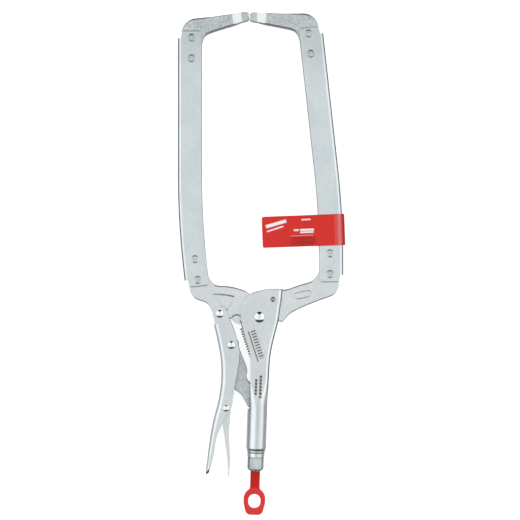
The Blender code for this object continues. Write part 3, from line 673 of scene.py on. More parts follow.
def armMesh(name, carry, holes):
    # Rows across the channel, close together where its ends and notches turn, then its slot and holes cut out
    long, edge, notch, notchLong = armSet["long"], armSet["edge"], armSet["notch"], armSet["notchLong"]
    near = np.array([0, 0.1, 0.22, 0.45, 0.8, 1.2, 1.7, 2.3, 3, 4, 5, 6.2, notchLong])
    inside = np.concatenate([notchLong + np.array([0.02, 0.15, 0.4, 1, 2]), np.arange(10, 219, 3.0)])
    far = long - near[::-1]
    d = np.concatenate([near, inside, long - notchLong - np.array([2, 1, 0.4, 0.15, 0.02]), far])
    fromEnd = np.minimum(d, long - d)
    isNotch = fromEnd <= notchLong + 1e-6
    middle, out = armMiddle(d)
    r = armSet["corner"]
    pull = r - np.sqrt(np.maximum(r**2 - np.maximum(r - fromEnd, 0) ** 2, 0))
    outer = armSet["half"] - np.where(isNotch, notch, 0) - pull
    outer = outer - 0.5 * blend01(fromEnd, notchLong, notchLong - 5) * isNotch
    inner = -(armSet["half"] - pull)
    endRim = 1 - np.sqrt(np.clip(1 - (1 - fromEnd / edge) ** 2, 0, 1))
    half = thick["arm"] / 2 - edge * endRim * (fromEnd < edge)
    wide = np.where(isNotch, edge, armSet["bendWide"])
    plain = np.full(len(d), edge)
    innerEdge, outerEdge = middle + out * inner[:, None], middle + out * outer[:, None]
    mesh = capped(name, channelGrid(innerEdge, outerEdge, half, (plain, plain), (wide, wide), steps=9))
    reach = np.linspace(-10, long + 10, 90)
    slotMiddle, slotOut = armMiddle(reach)
    webSide = slotMiddle + slotOut * (armSet["half"] - armSet["sheet"])
    freeSide = slotMiddle - slotOut * (armSet["half"] + 8)
    slotHalf = np.full(len(reach), thick["slot"] / 2)
    soft = np.full(len(reach), armSet["slotCorner"])
    bare = np.full(len(reach), 0.05)
    slotGrid = channelGrid(freeSide, webSide, slotHalf, (bare, bare), (soft, soft), steps=5)
    slot = capped(name + "_slot", slotGrid)
    carriedMesh(mesh, carry)
    carriedMesh(slot, carry)
    cutters = [slot]
    cheek = thick["arm"] / 2
    for k, place in enumerate(holes):
        edgeLine = arcAround(place, armSet["holeRadius"], 0, 360, 64)[:-1]
        for rule in (asIs, turnedOver):
            hole = flaredCutter(f"{name}_hole_{k}", edgeLine, 4.2, cheek, armSet["holeFlare"])
            cutters.append(carriedMesh(hole, rule))
    outerLine, outerOut = armMiddle(np.linspace(0, long, 400))
    outerLine = carry(outerLine + outerOut * armSet["half"])
    done = tidied(carved(mesh, cutters))
    points = cornersOf(done)
    # Distance in from the outer edge, read off the nearest height up the arm
    order = np.argsort(outerLine[:, 1])
    inward = np.abs(np.interp(points[:, 1], outerLine[order, 1], outerLine[order, 0]) - points[:, 0])
    turnHigh = cheek - armSet["bendWide"]
    # Painted shade along the outer turn of the bend: a dark reflection line put into the colour
    side = (inward < 1.35) & (np.abs(points[:, 2]) > turnHigh - 0.6)
    # Darker towards the jaw tips, with a painted shadow line along each end of the cheeks; both go into the
    # painted shade mask
    fromEnd = np.full(len(points), long)
    for at, step in ((0.0, 0.01), (long, -0.01)):
        start, ahead = carry(armMiddle(np.array([at, at + step]))[0])
        direction = (ahead - start) / np.linalg.norm(ahead - start)
        fromEnd = np.minimum(fromEnd, (points[:, :2] - start) @ direction)
    ends = np.maximum(0.18 * blend01(points[:, 1], 205, 262), 0.8 * (1 - blend01(fromEnd, 0.35, 0.7)))
    return marked(done, "paintedShade", np.maximum(side * (1 - blend01(inward, 0.75, 1.3)), ends))


def setRivet(name, place, deep, half):
    # A rivet set into the cheek: from its rim the face slopes down to a flat floor with a small centre pip
    top = half - 0.1
    rim = [(sunkSet["radius"], top - 0.25), (3.36, top - 0.06), (3.2, top), (3.1, top - 0.03)]
    slope = [(3.0, top - 0.25 * deep), (2.85, top - 0.6 * deep), (2.7, top - 0.88 * deep), (2.5, top - deep)]
    pip = [(1.3, top - deep), (0.8, top - deep * 0.97), (0.35, top - deep * 0.85), (0, top - deep * 0.8)]
    profile = rim + slope + pip
    return turned(name, [(r, -z) for r, z in profile[::-1]] + profile, place, 64)


for name, carry, holes, body in (
    ("fixed", asIs, fixedHoles, "fixed_side"),
    ("moving", toLeft, movingHoles, "moving_jaw"),
):
    arm = armMesh(f"{name}_arm", carry, holes)
    finished(f"{name}_arm", arm, body, [f"{name}_arm_channel"], [plated])
    for k, place in enumerate(holes, 1):
        deep = sunkSet["lower"] if k < 3 else sunkSet["upper"]
        sunk = setRivet(f"{name}_arm_rivet", place, deep, thick["arm"] / 2)
        finished(f"{name}_arm_rivet_{k}", sunk, body, [f"{name}_rivet_{k}"], [dimpleSteel])
print("arms ready")


# Jaw tips

# The facet slopes from x 6.9 to -2.2, where the pad is thin. Its two walls stand at these y, moved by these x.
tipSet = {"edge": 0.75, "corner": 2.2, "facet": (-2.2, 6.9), "thinHalf": 3.1, "facetHalf": 4.9}
tipSet |= {"facetWalls": ((255.0, -0.9), (285.0, 0.9))}


def tipMesh(name, carry, reach):
    corner = arcAround((39.9, 261.4), 13.8, -12, 90)
    tongue = [(36.7, 251), (39.0, 229), (56.2, 231), (53.6, 254.4)]
    under = throughPoints([(6.0, 265.5), (17, 263.5), (27.8, 261.2), (32.6, 259.2), (35.3, 255.5)])
    top = [(24, 274.7), (6.9, 275.2), (-2.2, 276.0)]
    pad = [(-6.3, 276.3), (reach, 275.2), (reach, 269.2), (-6.8, 268.1), (-2.2, 267.6)]
    line = outlineOf([under, tongue, corner, top, pad], 0.7)
    far = blend01(line[:, 0] + (line[:, 1] - 262) * 0.7, 34, 47) * blend01(line[:, 1], 252, 258)
    rim = tipSet["edge"] + (tipSet["corner"] - tipSet["edge"]) * far
    mesh = flatPiece(name, line, thick["jaw"] / 2, rim, 8)
    x0, x1 = tipSet["facet"]
    cutters = []
    for side in (1, -1):
        thin, full = tipSet["thinHalf"], tipSet["facetHalf"]
        wedge = np.array([(-40, thin), (x0, thin), (x1, full), (x1, 12), (-40, 12)], float)
        walls = [np.column_stack([wedge[:, 0] + slant, np.full(5, y), side * wedge[:, 1]])
                 for y, slant in tipSet["facetWalls"]]
        cutter = capped(f"{name}_facet_{side}", np.array(walls))
        cutter.materials.append(cast)
        cutter.materials.append(ground)
        isGround = np.zeros(len(cutter.polygons), int)
        isGround[1] = 1
        cutter.polygons.foreach_set("material_index", isGround)
        cutters.append(cutter)
    mesh.materials.append(cast)
    mesh.materials.append(ground)
    done = carved(mesh, cutters)
    return carriedMesh(done, carry)


for name, carry, reach, body in (
    ("fixed", asIs, -8.6, "fixed_side"),
    ("moving", toLeftTip, -9.0, "moving_jaw"),
):
    tip = tipMesh(f"{name}_tip", carry, reach)
    finished(f"{name}_tip", tip, body, [f"{name}_jaw_tip"], [cast, ground])
print("jaw tips ready")


# Jaw plates

fixedPlateSet = {"edge": 1.15, "slotAt": (39.2, 20.1), "slotTurn": 12, "slotLong": 10.0, "slotRadius": 2.45}
fixedPlateSet |= {"slotDeep": 0.7, "slotSlope": 0.7, "pinRadius": 2.1}


def fixedPlateMesh():
    upper = [(21.5, 24.8), (25, 24.8), (36.9, 28.9), (45, 31.2), (48.7, 33), (52.4, 37), (54.8, 41)]
    upper = throughPoints(upper)
    tongue = [(55.3, 66), (72.9, 66), (72.9, 39)]
    outer = [(71.9, 32.5), (72.4, 29.8), (70.5, 24.4), (67.8, 20.7), (64.2, 18.5), (55, 15.3), (46, 11.8)]
    outer = throughPoints(outer)
    lower = throughPoints([(36.9, 8), (33.3, 6.2), (27.8, 3), (23.3, -1.5), (21.5, -4.3)])
    socket = arcAround((0, 0), 10.2, 6, 62, 16)
    line = outlineOf([upper, tongue, outer, lower, [(17.4, -4.3), (16.0, 0)], socket, [(7.0, 22.5)]], 0.75)
    mesh = flatPiece("fixed_plate", line, thick["jaw"] / 2, fixedPlateSet["edge"], 7)
    half, radius = fixedPlateSet["slotLong"] / 2, fixedPlateSet["slotRadius"]
    ends = np.vstack([arcAround((half, 0), radius, -90, 90), arcAround((-half, 0), radius, 90, 270)])
    c, s = (f(math.radians(fixedPlateSet["slotTurn"])) for f in (math.cos, math.sin))
    x, y = fixedPlateSet["slotAt"]
    pocket = np.column_stack([x + ends[:, 0] * c - ends[:, 1] * s, y + ends[:, 0] * s + ends[:, 1] * c])
    pocket = outlineOf([pocket], 0.3, 0.3)
    top = thick["jaw"] / 2
    bottom = top - fixedPlateSet["slotDeep"]
    cutter = slopedCutter("slot_pocket", pocket, bottom, top, fixedPlateSet["slotSlope"])
    pinLine = arcAround(centres["headPin"], fixedPlateSet["pinRadius"], 0, 360, 40)[:-1]
    return carved(mesh, [cutter, prism("pin_hole", pinLine, -8, 8)])


movingPlateSet = {"edge": 1.15, "heelRadius": 6.5, "hubRadius": 9.4, "pocketDeep": 1.2, "pocketSlope": 1.3}
movingPlateSet |= {"tabAt": (-20.6, -3.2), "tabRadius": 4.4, "tabHalf": 1.5, "tabSlope": 1.4}
movingPlateSet |= {"hookRadius": 1.0}


def movingPlateMesh():
    outer = [(-63.1, 24.4), (-61.3, 20.7), (-58.5, 17), (-54, 14.8), (-49.4, 13.5), (-45.8, 10.7), (-43.7, 7)]
    heel = arcAround(centres["lever"], movingPlateSet["heelRadius"], 170, 320)
    under = [(-28.0, -1.7), (-26.2, -1.2), (-24.8, -3.0), (-22.6, -5.2), (-19.8, -6.5), (-17.0, -6.6)]
    hub = arcAround((0, 0), movingPlateSet["hubRadius"], 205, 420, 40)
    upper = [(-8.5, 20.3), (-13, 23.5), (-19.5, 25.7), (-26.7, 27.4), (-34, 28), (-39.5, 28.5), (-42.2, 30.3)]
    neck = throughPoints([(-44.9, 33.5), (-47.2, 39)])
    tongue = [(-50.3, 63.5), (-67.6, 61.6), (-64.8, 36)]
    lowerSide = [throughPoints(outer), heel, throughPoints(under), [(-14.8, -5.0)], hub]
    upperSide = [[(3.6, 12.2), (-2.2, 17.6)], throughPoints(upper), neck, tongue]
    line = outlineOf(lowerSide + upperSide, 0.75)
    mesh = flatPiece("moving_plate", line, thick["jaw"] / 2, movingPlateSet["edge"], 7)
    top = thick["jaw"] / 2
    # A three-sided pocket and the thinned tab for the spring, both pressed in from above and below
    pocketLine = outlineOf([[(-41.0, 20.1), (-32, 19.5), (-23.4, 18.0), (-29.6, 6.6)]], 0.6, 0.35)
    tabLine = arcAround(movingPlateSet["tabAt"], movingPlateSet["tabRadius"], 0, 360, 72)[:-1]
    pressed = (("pocket", pocketLine, top - movingPlateSet["pocketDeep"], movingPlateSet["pocketSlope"]),
               ("tab", tabLine, movingPlateSet["tabHalf"], movingPlateSet["tabSlope"]))
    cutters = []
    for name, edgeLine, bottom, slope in pressed:
        for side, rule in (("above", asIs), ("below", turnedOver)):
            cutters.append(carriedMesh(slopedCutter(f"{name}_{side}", edgeLine, bottom, top, slope), rule))
    hookLine = arcAround(centres["springHole"], movingPlateSet["hookRadius"], 0, 360, 32)[:-1]
    return carved(mesh, [*cutters, prism("hook_hole", hookLine, -3, 3)])


finished("fixed_plate", fixedPlateMesh(), "fixed_side", ["fixed_jaw_plate"], [forged])
finished("moving_plate", movingPlateMesh(), "moving_jaw", ["moving_jaw_plate"], [forged])
print("jaw plates ready")


# Fixed handle

screwSet = {"point": (-2.5, -102.9), "lean": math.radians(1.9), "radius": 4.75, "top": 11.6, "bottom": -36.6}
screwSet |= {"pitch": 1.5, "deep": 0.7, "bore": 6.45}
handleSet = {"edge": 0.6, "bend": 3.4, "sheet": 2.5, "slotEnd": -84.0}
# Etched marks, all on one slant: a hatched lozenge, a rule beside it, and two rows of bars (count, start, width)
markSet = {"slant": -72, "hatchAt": (-1.9, -24.5), "hatch": (27, 4.6), "hatchStep": 2.6}
markSet |= {"ruleAt": (-5.6, -26.5), "rule": (29, 1.0), "barStep": (0.12, 3.0), "barLong": 2.4}
markSet |= {"barRows": ((7, 1.3, -54.0, 2.1), (5, -2.9, -57.2, 2.0))}


def axisPoints(h):
    # Points on the screw's leaning axis at these heights along it
    x, y = screwSet["point"]
    return np.column_stack([x + h * math.sin(screwSet["lean"]), y + h * math.cos(screwSet["lean"])])


def barMask(points, centre, size, angle, soft=0.25):
    # 1 inside a bar of this length and width, turned by angle degrees, falling to 0 over its soft edge
    c, s = math.cos(math.radians(angle)), math.sin(math.radians(angle))
    dx, dy = points[:, 0] - centre[0], points[:, 1] - centre[1]
    along, across = np.abs(dx * c + dy * s), np.abs(-dx * s + dy * c)
    inLength = 1 - blend01(along, size[0] / 2 - soft, size[0] / 2 + soft)
    return inLength * (1 - blend01(across, size[1] / 2 - soft, size[1] / 2 + soft))


def handleWebLine():
    web = [(17.4, -2.9), (15.1, -12), (12.8, -21.1), (10.8, -30.2), (9.5, -39.3), (8.7, -52.9), (8, -66.5)]
    return throughPoints([(21, 25.3), (20.1, 15.3), (18.7, 6.2), *web, (7.4, -80)])


def handleMarks(mesh):
    # The etched marks on the upper face, painted shade on the outer turn of the bend, and soft bands of painted
    # shade along the tube
    points = cornersOf(mesh)
    face = (points[:, 2] > 7.2).astype(float)
    slant = markSet["slant"]
    lozenge = barMask(points, markSet["hatchAt"], markSet["hatch"], slant, 0.5)
    c, s = math.cos(math.radians(slant)), math.sin(math.radians(slant))
    along = points[:, 0] * c + points[:, 1] * s
    hatch = 0.5 + 0.5 * np.cos(along * 2 * np.pi / markSet["hatchStep"])
    total = lozenge * blend01(hatch, 0.25, 0.6) * 0.8
    total = np.maximum(total, barMask(points, markSet["ruleAt"], markSet["rule"], slant) * 0.95)
    stepX, stepY = markSet["barStep"]
    for count, x, y, wide in markSet["barRows"]:
        for k in range(count):
            bar = barMask(points, (x - stepX * k, y - stepY * k), (markSet["barLong"], wide), slant - 12, 0.3)
            total = np.maximum(total, bar)
    web = handleWebLine()
    inward = np.interp(-points[:, 1], -web[:, 1], web[:, 0]) - points[:, 0]
    turnHigh = thick["handle"] / 2 - handleSet["bend"]
    paintedShade = (1 - blend01(inward, 0.75, 1.3)) * (np.abs(points[:, 2]) > turnHigh - 0.6)
    lean = screwSet["lean"]
    dx, dy = points[:, 0] - screwSet["point"][0], points[:, 1] - screwSet["point"][1]
    beside = dx * math.cos(lean) - dy * math.sin(lean)
    # Painted shade bands along the tube: one just right of its middle and one down its right side
    band = 0.30 * (1 - blend01(np.abs(beside - 2.0), 1.2, 2.8)) + 0.16 * blend01(beside, 5.0, 6.8)
    paintedShade = paintedShade * blend01(points[:, 1], -72, -60) + band * (1 - blend01(points[:, 1], -84, -70))
    marked(mesh, "paintedShade", np.clip(paintedShade, 0, 1))
    return marked(mesh, "etched", total * face)


def fixedHandleMesh():
    count = 90
    # Three stretches: the head, the U-shaped middle, and the tube in lengths square to the screw's axis
    headLeft = [(9.6, 25.3), (5.1, 24.6), (-4, 22.5), (-7.6, 21), (-11.3, 18), (-14, 14.4), (-15.8, 9.8)]
    headLeft = spaced(throughPoints([*headLeft, (-16.7, 5.3), (-16.7, 0.7), (-15.8, -5.6)]), count)
    web = handleWebLine()
    headRight = spaced(web[web[:, 1] > -5.6], count)
    left = [(-16.7, 0.7), (-15.8, -5.6), (-13.1, -16.5), (-10.4, -25.6), (-8.8, -32), (-8.2, -41.1)]
    left = throughPoints([*left, (-8.1, -52.9), (-8.7, -62), (-10.0, -74), (-10.6, -80)])
    y = np.arange(-6.3, -71.5, -0.55)
    midLeft = np.column_stack([np.interp(-y, -left[:, 1], left[:, 0]), y])
    midRight = np.column_stack([np.interp(-y, -web[:, 1], web[:, 0]), y])
    h = np.concatenate([np.arange(29.5, -16, -1.2), np.arange(-16, -24.1, -0.2)])
    downTube = [-34, -28, -24, 16, 18.4, 19.4, 20.4, 24]
    radius = np.interp(-h, downTube, [8.2, 8.8, 8.95, 8.95, 8.2, 8.2, 7.7, 7.7])
    sideways = np.array([[math.cos(screwSet["lean"]), -math.sin(screwSet["lean"])]])
    low = axisPoints(h)
    lefts = np.vstack([headLeft, midLeft, low - sideways * radius[:, None]])
    rights = np.vstack([headRight, midRight, low + sideways * radius[:, None]])
    upper = slice(40, count + len(y) + 14)
    lefts[upper] = eased(lefts, 3.0)[upper]
    rights[upper] = eased(rights, 3.0)[upper]
    middleY = (lefts[:, 1] + rights[:, 1]) / 2
    width = np.linalg.norm(rights - lefts, axis=1)
    into = blend01(-middleY, 56, 82)
    half = thick["handle"] / 2 * (1 - into) + width / 2 * into
    into = blend01(-middleY, 54, 84)
    edge, bend = handleSet["edge"], handleSet["bend"]
    leftRim = (edge * (1 - into) + width / 2 * into, edge * (1 - into) + half * into)
    rightRim = (bend * (1 - into) + width / 2 * into, bend * (1 - into) + half * into)
    grid = channelGrid(lefts, rights, half, leftRim, rightRim, steps=12, flats=44)
    # The top edge's own rim: extra rows drop in thickness along a quarter circle
    a = np.linspace(0, math.pi / 2, 5)[:-1]
    rimRows = []
    for angle in a:
        row = grid[0].copy()
        row[:, 2] *= 1 - edge * (1 - math.sin(angle)) / half[0]
        row[:, 1] += edge * math.cos(angle)
        rimRows.append(row)
    grid = np.concatenate([np.array(rimRows) - (0, edge, 0), grid[1:]])
    mesh = capped("fixed_handle_shell", grid)
    inner = web[(web[:, 1] < -6.5) & (web[:, 1] > -83)] - (handleSet["sheet"], 0)
    end = handleSet["slotEnd"]
    slotLine = np.vstack([[(-30, 40), (40, 40), (40, -4.9), (14.0, -4.9)], inner, [(4.3, end), (-30, end)]])
    slotLine = spaced(slotLine, gap=1.5, closed=True)
    slot = prism("handle_slot", slotLine, -thick["slot"] / 2, thick["slot"] / 2)
    boreProfile = [(0, -30), (screwSet["bore"], -30), (screwSet["bore"], 30), (0.1, 30), (0, 30)]
    bore = turned("handle_bore", boreProfile, screwSet["point"], 64, screwSet["lean"])
    pinLine = arcAround(centres["headPin"], fixedPlateSet["pinRadius"], 0, 360, 40)[:-1]
    return carved(mesh, [slot, bore, prism("handle_pin_hole", pinLine, -10, 10)])


handleMesh = tidied(fixedHandleMesh())
handleMarks(handleMesh)
finished("fixed_lever", handleMesh, "fixed_side", ["fixed_handle"], [formed])


# Bore and outer radii, and the heights up the screw's axis between which its collar and its flats stand
bushSet = {"bore": 5.1, "collar": 6.1, "wide": 7.3, "top": -18.6, "shoulder": -24.3, "foot": -36.1}


def bushMesh():
    # Eight flats: at angle t the wall stands at cos 22.5 / cos of the angle from the flat's middle
    sides = 96
    bore, collar, wide = bushSet["bore"], bushSet["collar"], bushSet["wide"]
    top, shoulder, foot = bushSet["top"], bushSet["shoulder"], bushSet["foot"]
    angle = np.linspace(0, 2 * math.pi, sides, endpoint=False)
    flatness = math.cos(math.pi / 8) / np.cos(np.mod(angle, math.pi / 4) - math.pi / 8)
    outer = [(bore, top), (collar, top), (collar, shoulder), (7.0, shoulder), (wide, -24.6), (wide, -34.2)]
    outer += [(7.05, -35.2), (6.5, foot), (5.3, foot), (bore, -35.8)]
    profile = np.array(outer + [(bore, -20.0)])
    amount = np.clip((profile[:, :1] - 6.2) / 0.6, 0, 1)
    reach = 1 + (flatness[None] - 1) * amount
    return turned("bush", profile, screwSet["point"], sides, screwSet["lean"], reach, closed=True)


bush = bushMesh()
# Painted shade: the bush's flats on its left side are darkened
marked(bush, "paintedShade", 0.26 * (1 - blend01(cornersOf(bush)[:, 0], -6.0, -4.6)))
bushLook = platedLook | {"dark": (0.50, 0.545, 0.55), "light": (0.58, 0.61, 0.61), "speck": 0.3}
bushSteel = metalFinish("bush steel", bushLook | {"blotch": 120, "grainScale": 420})
finished("end_bush", bush, "fixed_side", ["end_sleeve"], [bushSteel], 25)
print("fixed handle ready")


# Moving handle, link and release lever

leverSet = {"edge": 0.5, "bendWide": 4.6, "bendDeep": 4.2, "sheet": 2.0, "headRadius": 6.6, "headRows": 44}
leverSet |= {"bodyRows": 260, "slotCorner": 0.9}


def movingHandleMesh():
    # Rows from the round head down to the tip: left edges on the web, right edges on the open side
    web = [(-41.5, -6.5), (-39.5, -14.7), (-37.6, -23.8), (-36.1, -32), (-34.9, -41.1), (-34.6, -52.9)]
    web += [(-35.4, -64.7), (-37.2, -75.6), (-39.5, -84.7), (-41.9, -93.8), (-43.7, -102.9), (-45.1, -112)]
    web = throughPoints([*web, (-46.4, -121.1), (-47.4, -130.2), (-48.3, -137.4), (-48.7, -142.9)])
    free = [(-26.7, -2.9), (-24, -9.3), (-21.5, -16.5), (-19.2, -25.6), (-18, -32), (-18.5, -39.3)]
    free += [(-19.5, -45.6), (-20.8, -52.9), (-22.2, -60.2), (-23.1, -66.5), (-24.6, -79.3), (-26.3, -84.4)]
    free += [(-30.4, -90.2), (-33.1, -95.6), (-36.7, -102.9), (-39.9, -113.8), (-42.2, -128.4)]
    free = throughPoints([*free, (-45.8, -141.2)])
    centre, radius = centres["lever"], leverSet["headRadius"]
    t = np.linspace(0, 1, 34) ** 1.6
    leftTurn, rightTurn = np.radians(97 + 118 * t), np.radians(83 - 55 * t)
    leftHead = [centre[0] + radius * np.cos(leftTurn), centre[1] + radius * np.sin(leftTurn)]
    leftHead = np.column_stack(leftHead)
    leftHead = np.vstack([leftHead, [(-40.9, -3.4), (-40.45, -6.1)]])
    rightHead = [centre[0] + radius * np.cos(rightTurn), centre[1] + radius * np.sin(rightTurn)]
    rightHead = np.column_stack(rightHead)
    rightHead = np.vstack([rightHead, throughPoints([(-28.3, 1.5), (-26.7, -2.9), (-25.6, -5.6)], 4)[1:]])
    head, body = leverSet["headRows"], leverSet["bodyRows"]
    leftHead = spaced(leftHead, head)
    rightHead = spaced(rightHead, head)
    lefts = np.vstack([leftHead, [(-40.45, -6.45)], spaced(web, body)])
    rights = np.vstack([rightHead, [(-25.5, -6.0)], spaced(free[free[:, 1] < -6.0], body)])
    web01 = np.concatenate([np.zeros(head + 1), np.ones(body)])
    end = np.concatenate([np.zeros(head + 1), np.linspace(0, 1, body)])
    width = np.linalg.norm(rights - lefts, axis=1)
    fade = 1 - 0.35 * blend01(end, 0.75, 1.0)
    wide = leverSet["edge"] + (leverSet["bendWide"] - leverSet["edge"]) * web01 * fade
    deep = leverSet["edge"] + (leverSet["bendDeep"] - leverSet["edge"]) * web01 * fade
    wide = np.minimum(wide, width * 0.6)
    edge = np.minimum(np.full(len(lefts), leverSet["edge"]), width * 0.3)
    tip = np.sqrt(np.clip(1 - ((end - 0.965) / 0.0352).clip(0, 1) ** 2, 0, 1))
    half = thick["lever"] / 2 * (0.45 + 0.55 * tip)
    deep = np.minimum(deep, half * 0.8)
    grid = channelGrid(lefts, rights, half, (wide, deep), (edge, edge), steps=10, flats=6)
    mesh = capped("moving_handle_shell", grid)
    inner = web[(web[:, 1] < -7.6)] + (leverSet["sheet"], 0)
    inner = inner[inner[:, 1] > -141.0]
    above, beside = [(-60, 20), (-60, -7.5), (-41.0, -7.5)], [(-46.6, -141.3), (-30, -150), (0, -150), (0, 20)]
    line = spaced(np.vstack([above, inner, beside]), gap=1.0, closed=True)
    slot = flatPiece("lever_slot", line, thick["slot"] / 2, leverSet["slotCorner"], 4)
    return carved(mesh, [slot])


linkSet = {"rim": 0.8, "corner": 0.5, "headRadius": 6.8, "noseAt": (-1.75, -80.0), "noseRadius": 4.6}


def linkMesh():
    right = [(-18.4, -28.5), (-14.9, -37.5), (-12.2, -44.7), (-11.1, -49.3), (-11.7, -52), (-11.9, -54.7)]
    right = throughPoints([*right, (-10.8, -57.4), (-9, -59.7), (-5, -66), (1.4, -76.5)])
    nose = arcAround(linkSet["noseAt"], linkSet["noseRadius"], 20, -130)
    lower = [(-10.6, -81.4), (-11.3, -79.7), (-14, -74.7), (-16.7, -70.2), (-19.5, -67.9), (-22.0, -66.6)]
    back = throughPoints([(-23.6, -63), (-25.2, -52), (-28.6, -40), (-31.6, -30.5)])
    head = arcAround(centres["link"], linkSet["headRadius"], 210, 10)
    line = outlineOf([right, nose, throughPoints(lower), back, head], linkSet["corner"])
    return flatPiece("link_body", line, thick["link"] / 2, linkSet["rim"], 6)


releaseSet = {"rim": 0.2, "sheet": 1.2, "headRadius": 4.6}


def releaseMesh():
    web = [(-26.3, -84.7), (-26.7, -92), (-27.4, -100.2), (-27.9, -107.4), (-27.6, -114.7), (-27, -125.6)]
    web = throughPoints([(-26.0, -79.0), *web, (-26.5, -132.9), (-27.3, -139.3), (-27.9, -145.2)])
    free = [(-30.5, -117.4), (-31.5, -110.2), (-32.5, -102.9), (-33.6, -95.6), (-34.6, -88)]
    free = throughPoints([(-28.9, -143.8), (-28.9, -132.9), (-29.5, -125.6), *free])
    head = arcAround(centres["release"], releaseSet["headRadius"], 190, 95, 12)
    line = outlineOf([web, free, head, [(-28.6, -73.4), (-26.6, -73.0)]], 0.45, 0.3)
    half, sheet = thick["release"] / 2, releaseSet["sheet"]
    mesh = flatPiece("release_body", line, half, releaseSet["rim"], 3)
    inner = spaced(web - (sheet, 0), gap=1.0)
    slotLine = np.vstack([[(-27.2, -60)], inner, [(-29.1, -150), (-60, -150), (-60, -60)]])
    slotLine = spaced(slotLine, gap=1.2, closed=True)
    return carved(mesh, [prism("release_slot", slotLine, -half + sheet, half - sheet)])


finished("moving_grip", movingHandleMesh(), "moving_lever", ["moving_handle"], [formed])
finished("toggle_bar", linkMesh(), "link", ["toggle_link"], [shadedLinkSteel])
finished("trip_lever", releaseMesh(), "release", ["release_lever"], [formed])
print("moving handle, link and release lever ready")


# Rivets and pins


def domedRivet(name, place, head, high, wide):
    # Each head is a quarter ellipse turned about the pin, standing on a short upright rim
    base = wide / 2 + 0.02
    a = np.linspace(0, math.pi / 2, 14)
    rim = 0.12 * high
    dome = np.column_stack([head * np.cos(a), base + rim + (high - rim) * np.sin(a)])
    under = [(head * 0.55, base - 0.6), (head * 0.99, base - 0.02), (head, base + 0.02)]
    half = np.vstack([under, dome])
    half[-1, 0] = 0
    profile = np.vstack([half[::-1] * (1, -1), half])
    return turned(name, profile, place, 72)


# Centre, head radius, head height, the part whose thickness it spans, and the body it rides on
rivetSet = {
    "main_pivot_rivet": ("main", 5.0, 2.75, "handle", "fixed_side"),
    "lever_pivot_rivet": ("lever", 3.65, 1.85, "lever", "moving_jaw"),
    "link_rivet": ("link", 3.65, 1.85, "lever", "moving_lever"),
    "release_rivet": ("release", 3.0, 1.45, "lever", "moving_lever"),
    "spring_anchor_pin": ("springAnchor", 2.0, 0.10, "handle", "fixed_side"),
}
for node, (centre, head, high, wide, body) in rivetSet.items():
    dome = domedRivet(node, centres[centre], head, high, thick[wide])
    finished(node + "_dome", dome, body, [node], [formed if high < 0.5 else rivetSteel])


def headPinMesh():
    # A set pin: a rolled lip round a low centre at both ends
    half = thick["handle"] / 2
    flare = [(1.95, half - 0.5), (2.05, half + 0.02), (2.35, half + 0.1), (2.55, half + 0.3)]
    flare += [(2.45, half + 0.55), (2.1, half + 0.62), (1.75, half + 0.4), (1.5, half - 0.2)]
    flare += [(1.35, half - 0.5), (1.1, half - 0.3), (0.7, half - 0.12), (0, half - 0.1)]
    profile = [(r, -z) for r, z in flare[::-1]] + flare
    return turned("head_pin", profile, centres["headPin"], 48)


finished("rolled_pin", headPinMesh(), "fixed_side", ["head_pin"], [springSteel])


# Screw, nose and ring


def screwMesh():
    # Rolled thread: radius = outer - deep x a rounded sawtooth of (height / pitch + angle / full turn)
    sides = 48
    perTurn = 12
    h = np.arange(screwSet["bottom"], screwSet["top"] + 1e-6, screwSet["pitch"] / perTurn)
    angle = np.linspace(0, 2 * math.pi, sides, endpoint=False)
    phase = h[:, None] / screwSet["pitch"] - angle[None] / (2 * math.pi)
    groove = 0.5 + 0.5 * np.cos(2 * math.pi * phase)
    ends = blend01(h, screwSet["bottom"], screwSet["bottom"] + 2)[:, None]
    radius = screwSet["radius"] - screwSet["deep"] * groove * ends
    radius = radius - 0.8 * blend01(h, screwSet["top"] - 1.2, screwSet["top"])[:, None]
    profile = np.vstack([[(0, h[0])], np.column_stack([np.ones(len(h)), h]), [(0, h[-1])]])
    reach = np.vstack([np.ones((1, sides)), radius, np.ones((1, sides))])
    return turned("screw", profile, screwSet["point"], sides, screwSet["lean"], reach)


noseSet = {"top": 15.0, "bottom": 11.9, "face": 4.2, "wide": 5.4}


def noseMesh():
    # A button with a rounded rim on the screw's end
    top, bottom, face, wide = noseSet["top"], noseSet["bottom"], noseSet["face"], noseSet["wide"]
    profile = [(0, bottom), (face, bottom), (4.9, top - 2.95), (wide, top - 2.6), (wide, top - 1.5)]
    profile += [(5.25, top - 0.9), (4.9, top - 0.4), (face, top), (0, top)]
    return turned("nose", profile, screwSet["point"], 56, screwSet["lean"])


def leaned(points):
    # From the ring's own upright drawing to its leaning place on the clamp
    c, s = math.cos(screwSet["lean"]), math.sin(screwSet["lean"])
    x, y = points[:, 0], points[:, 1]
    flat = [screwSet["point"][0] + x * c + y * s, screwSet["point"][1] - x * s + y * c]
    return np.column_stack([*flat, *points[:, 2:].T])


ringSet = {"middle": -64.6, "half": 2.5, "rim": 1.5, "wide": 9.85, "neck": 4.35, "hole": 5.6}
ringSet |= {"holeFlare": 1.1}


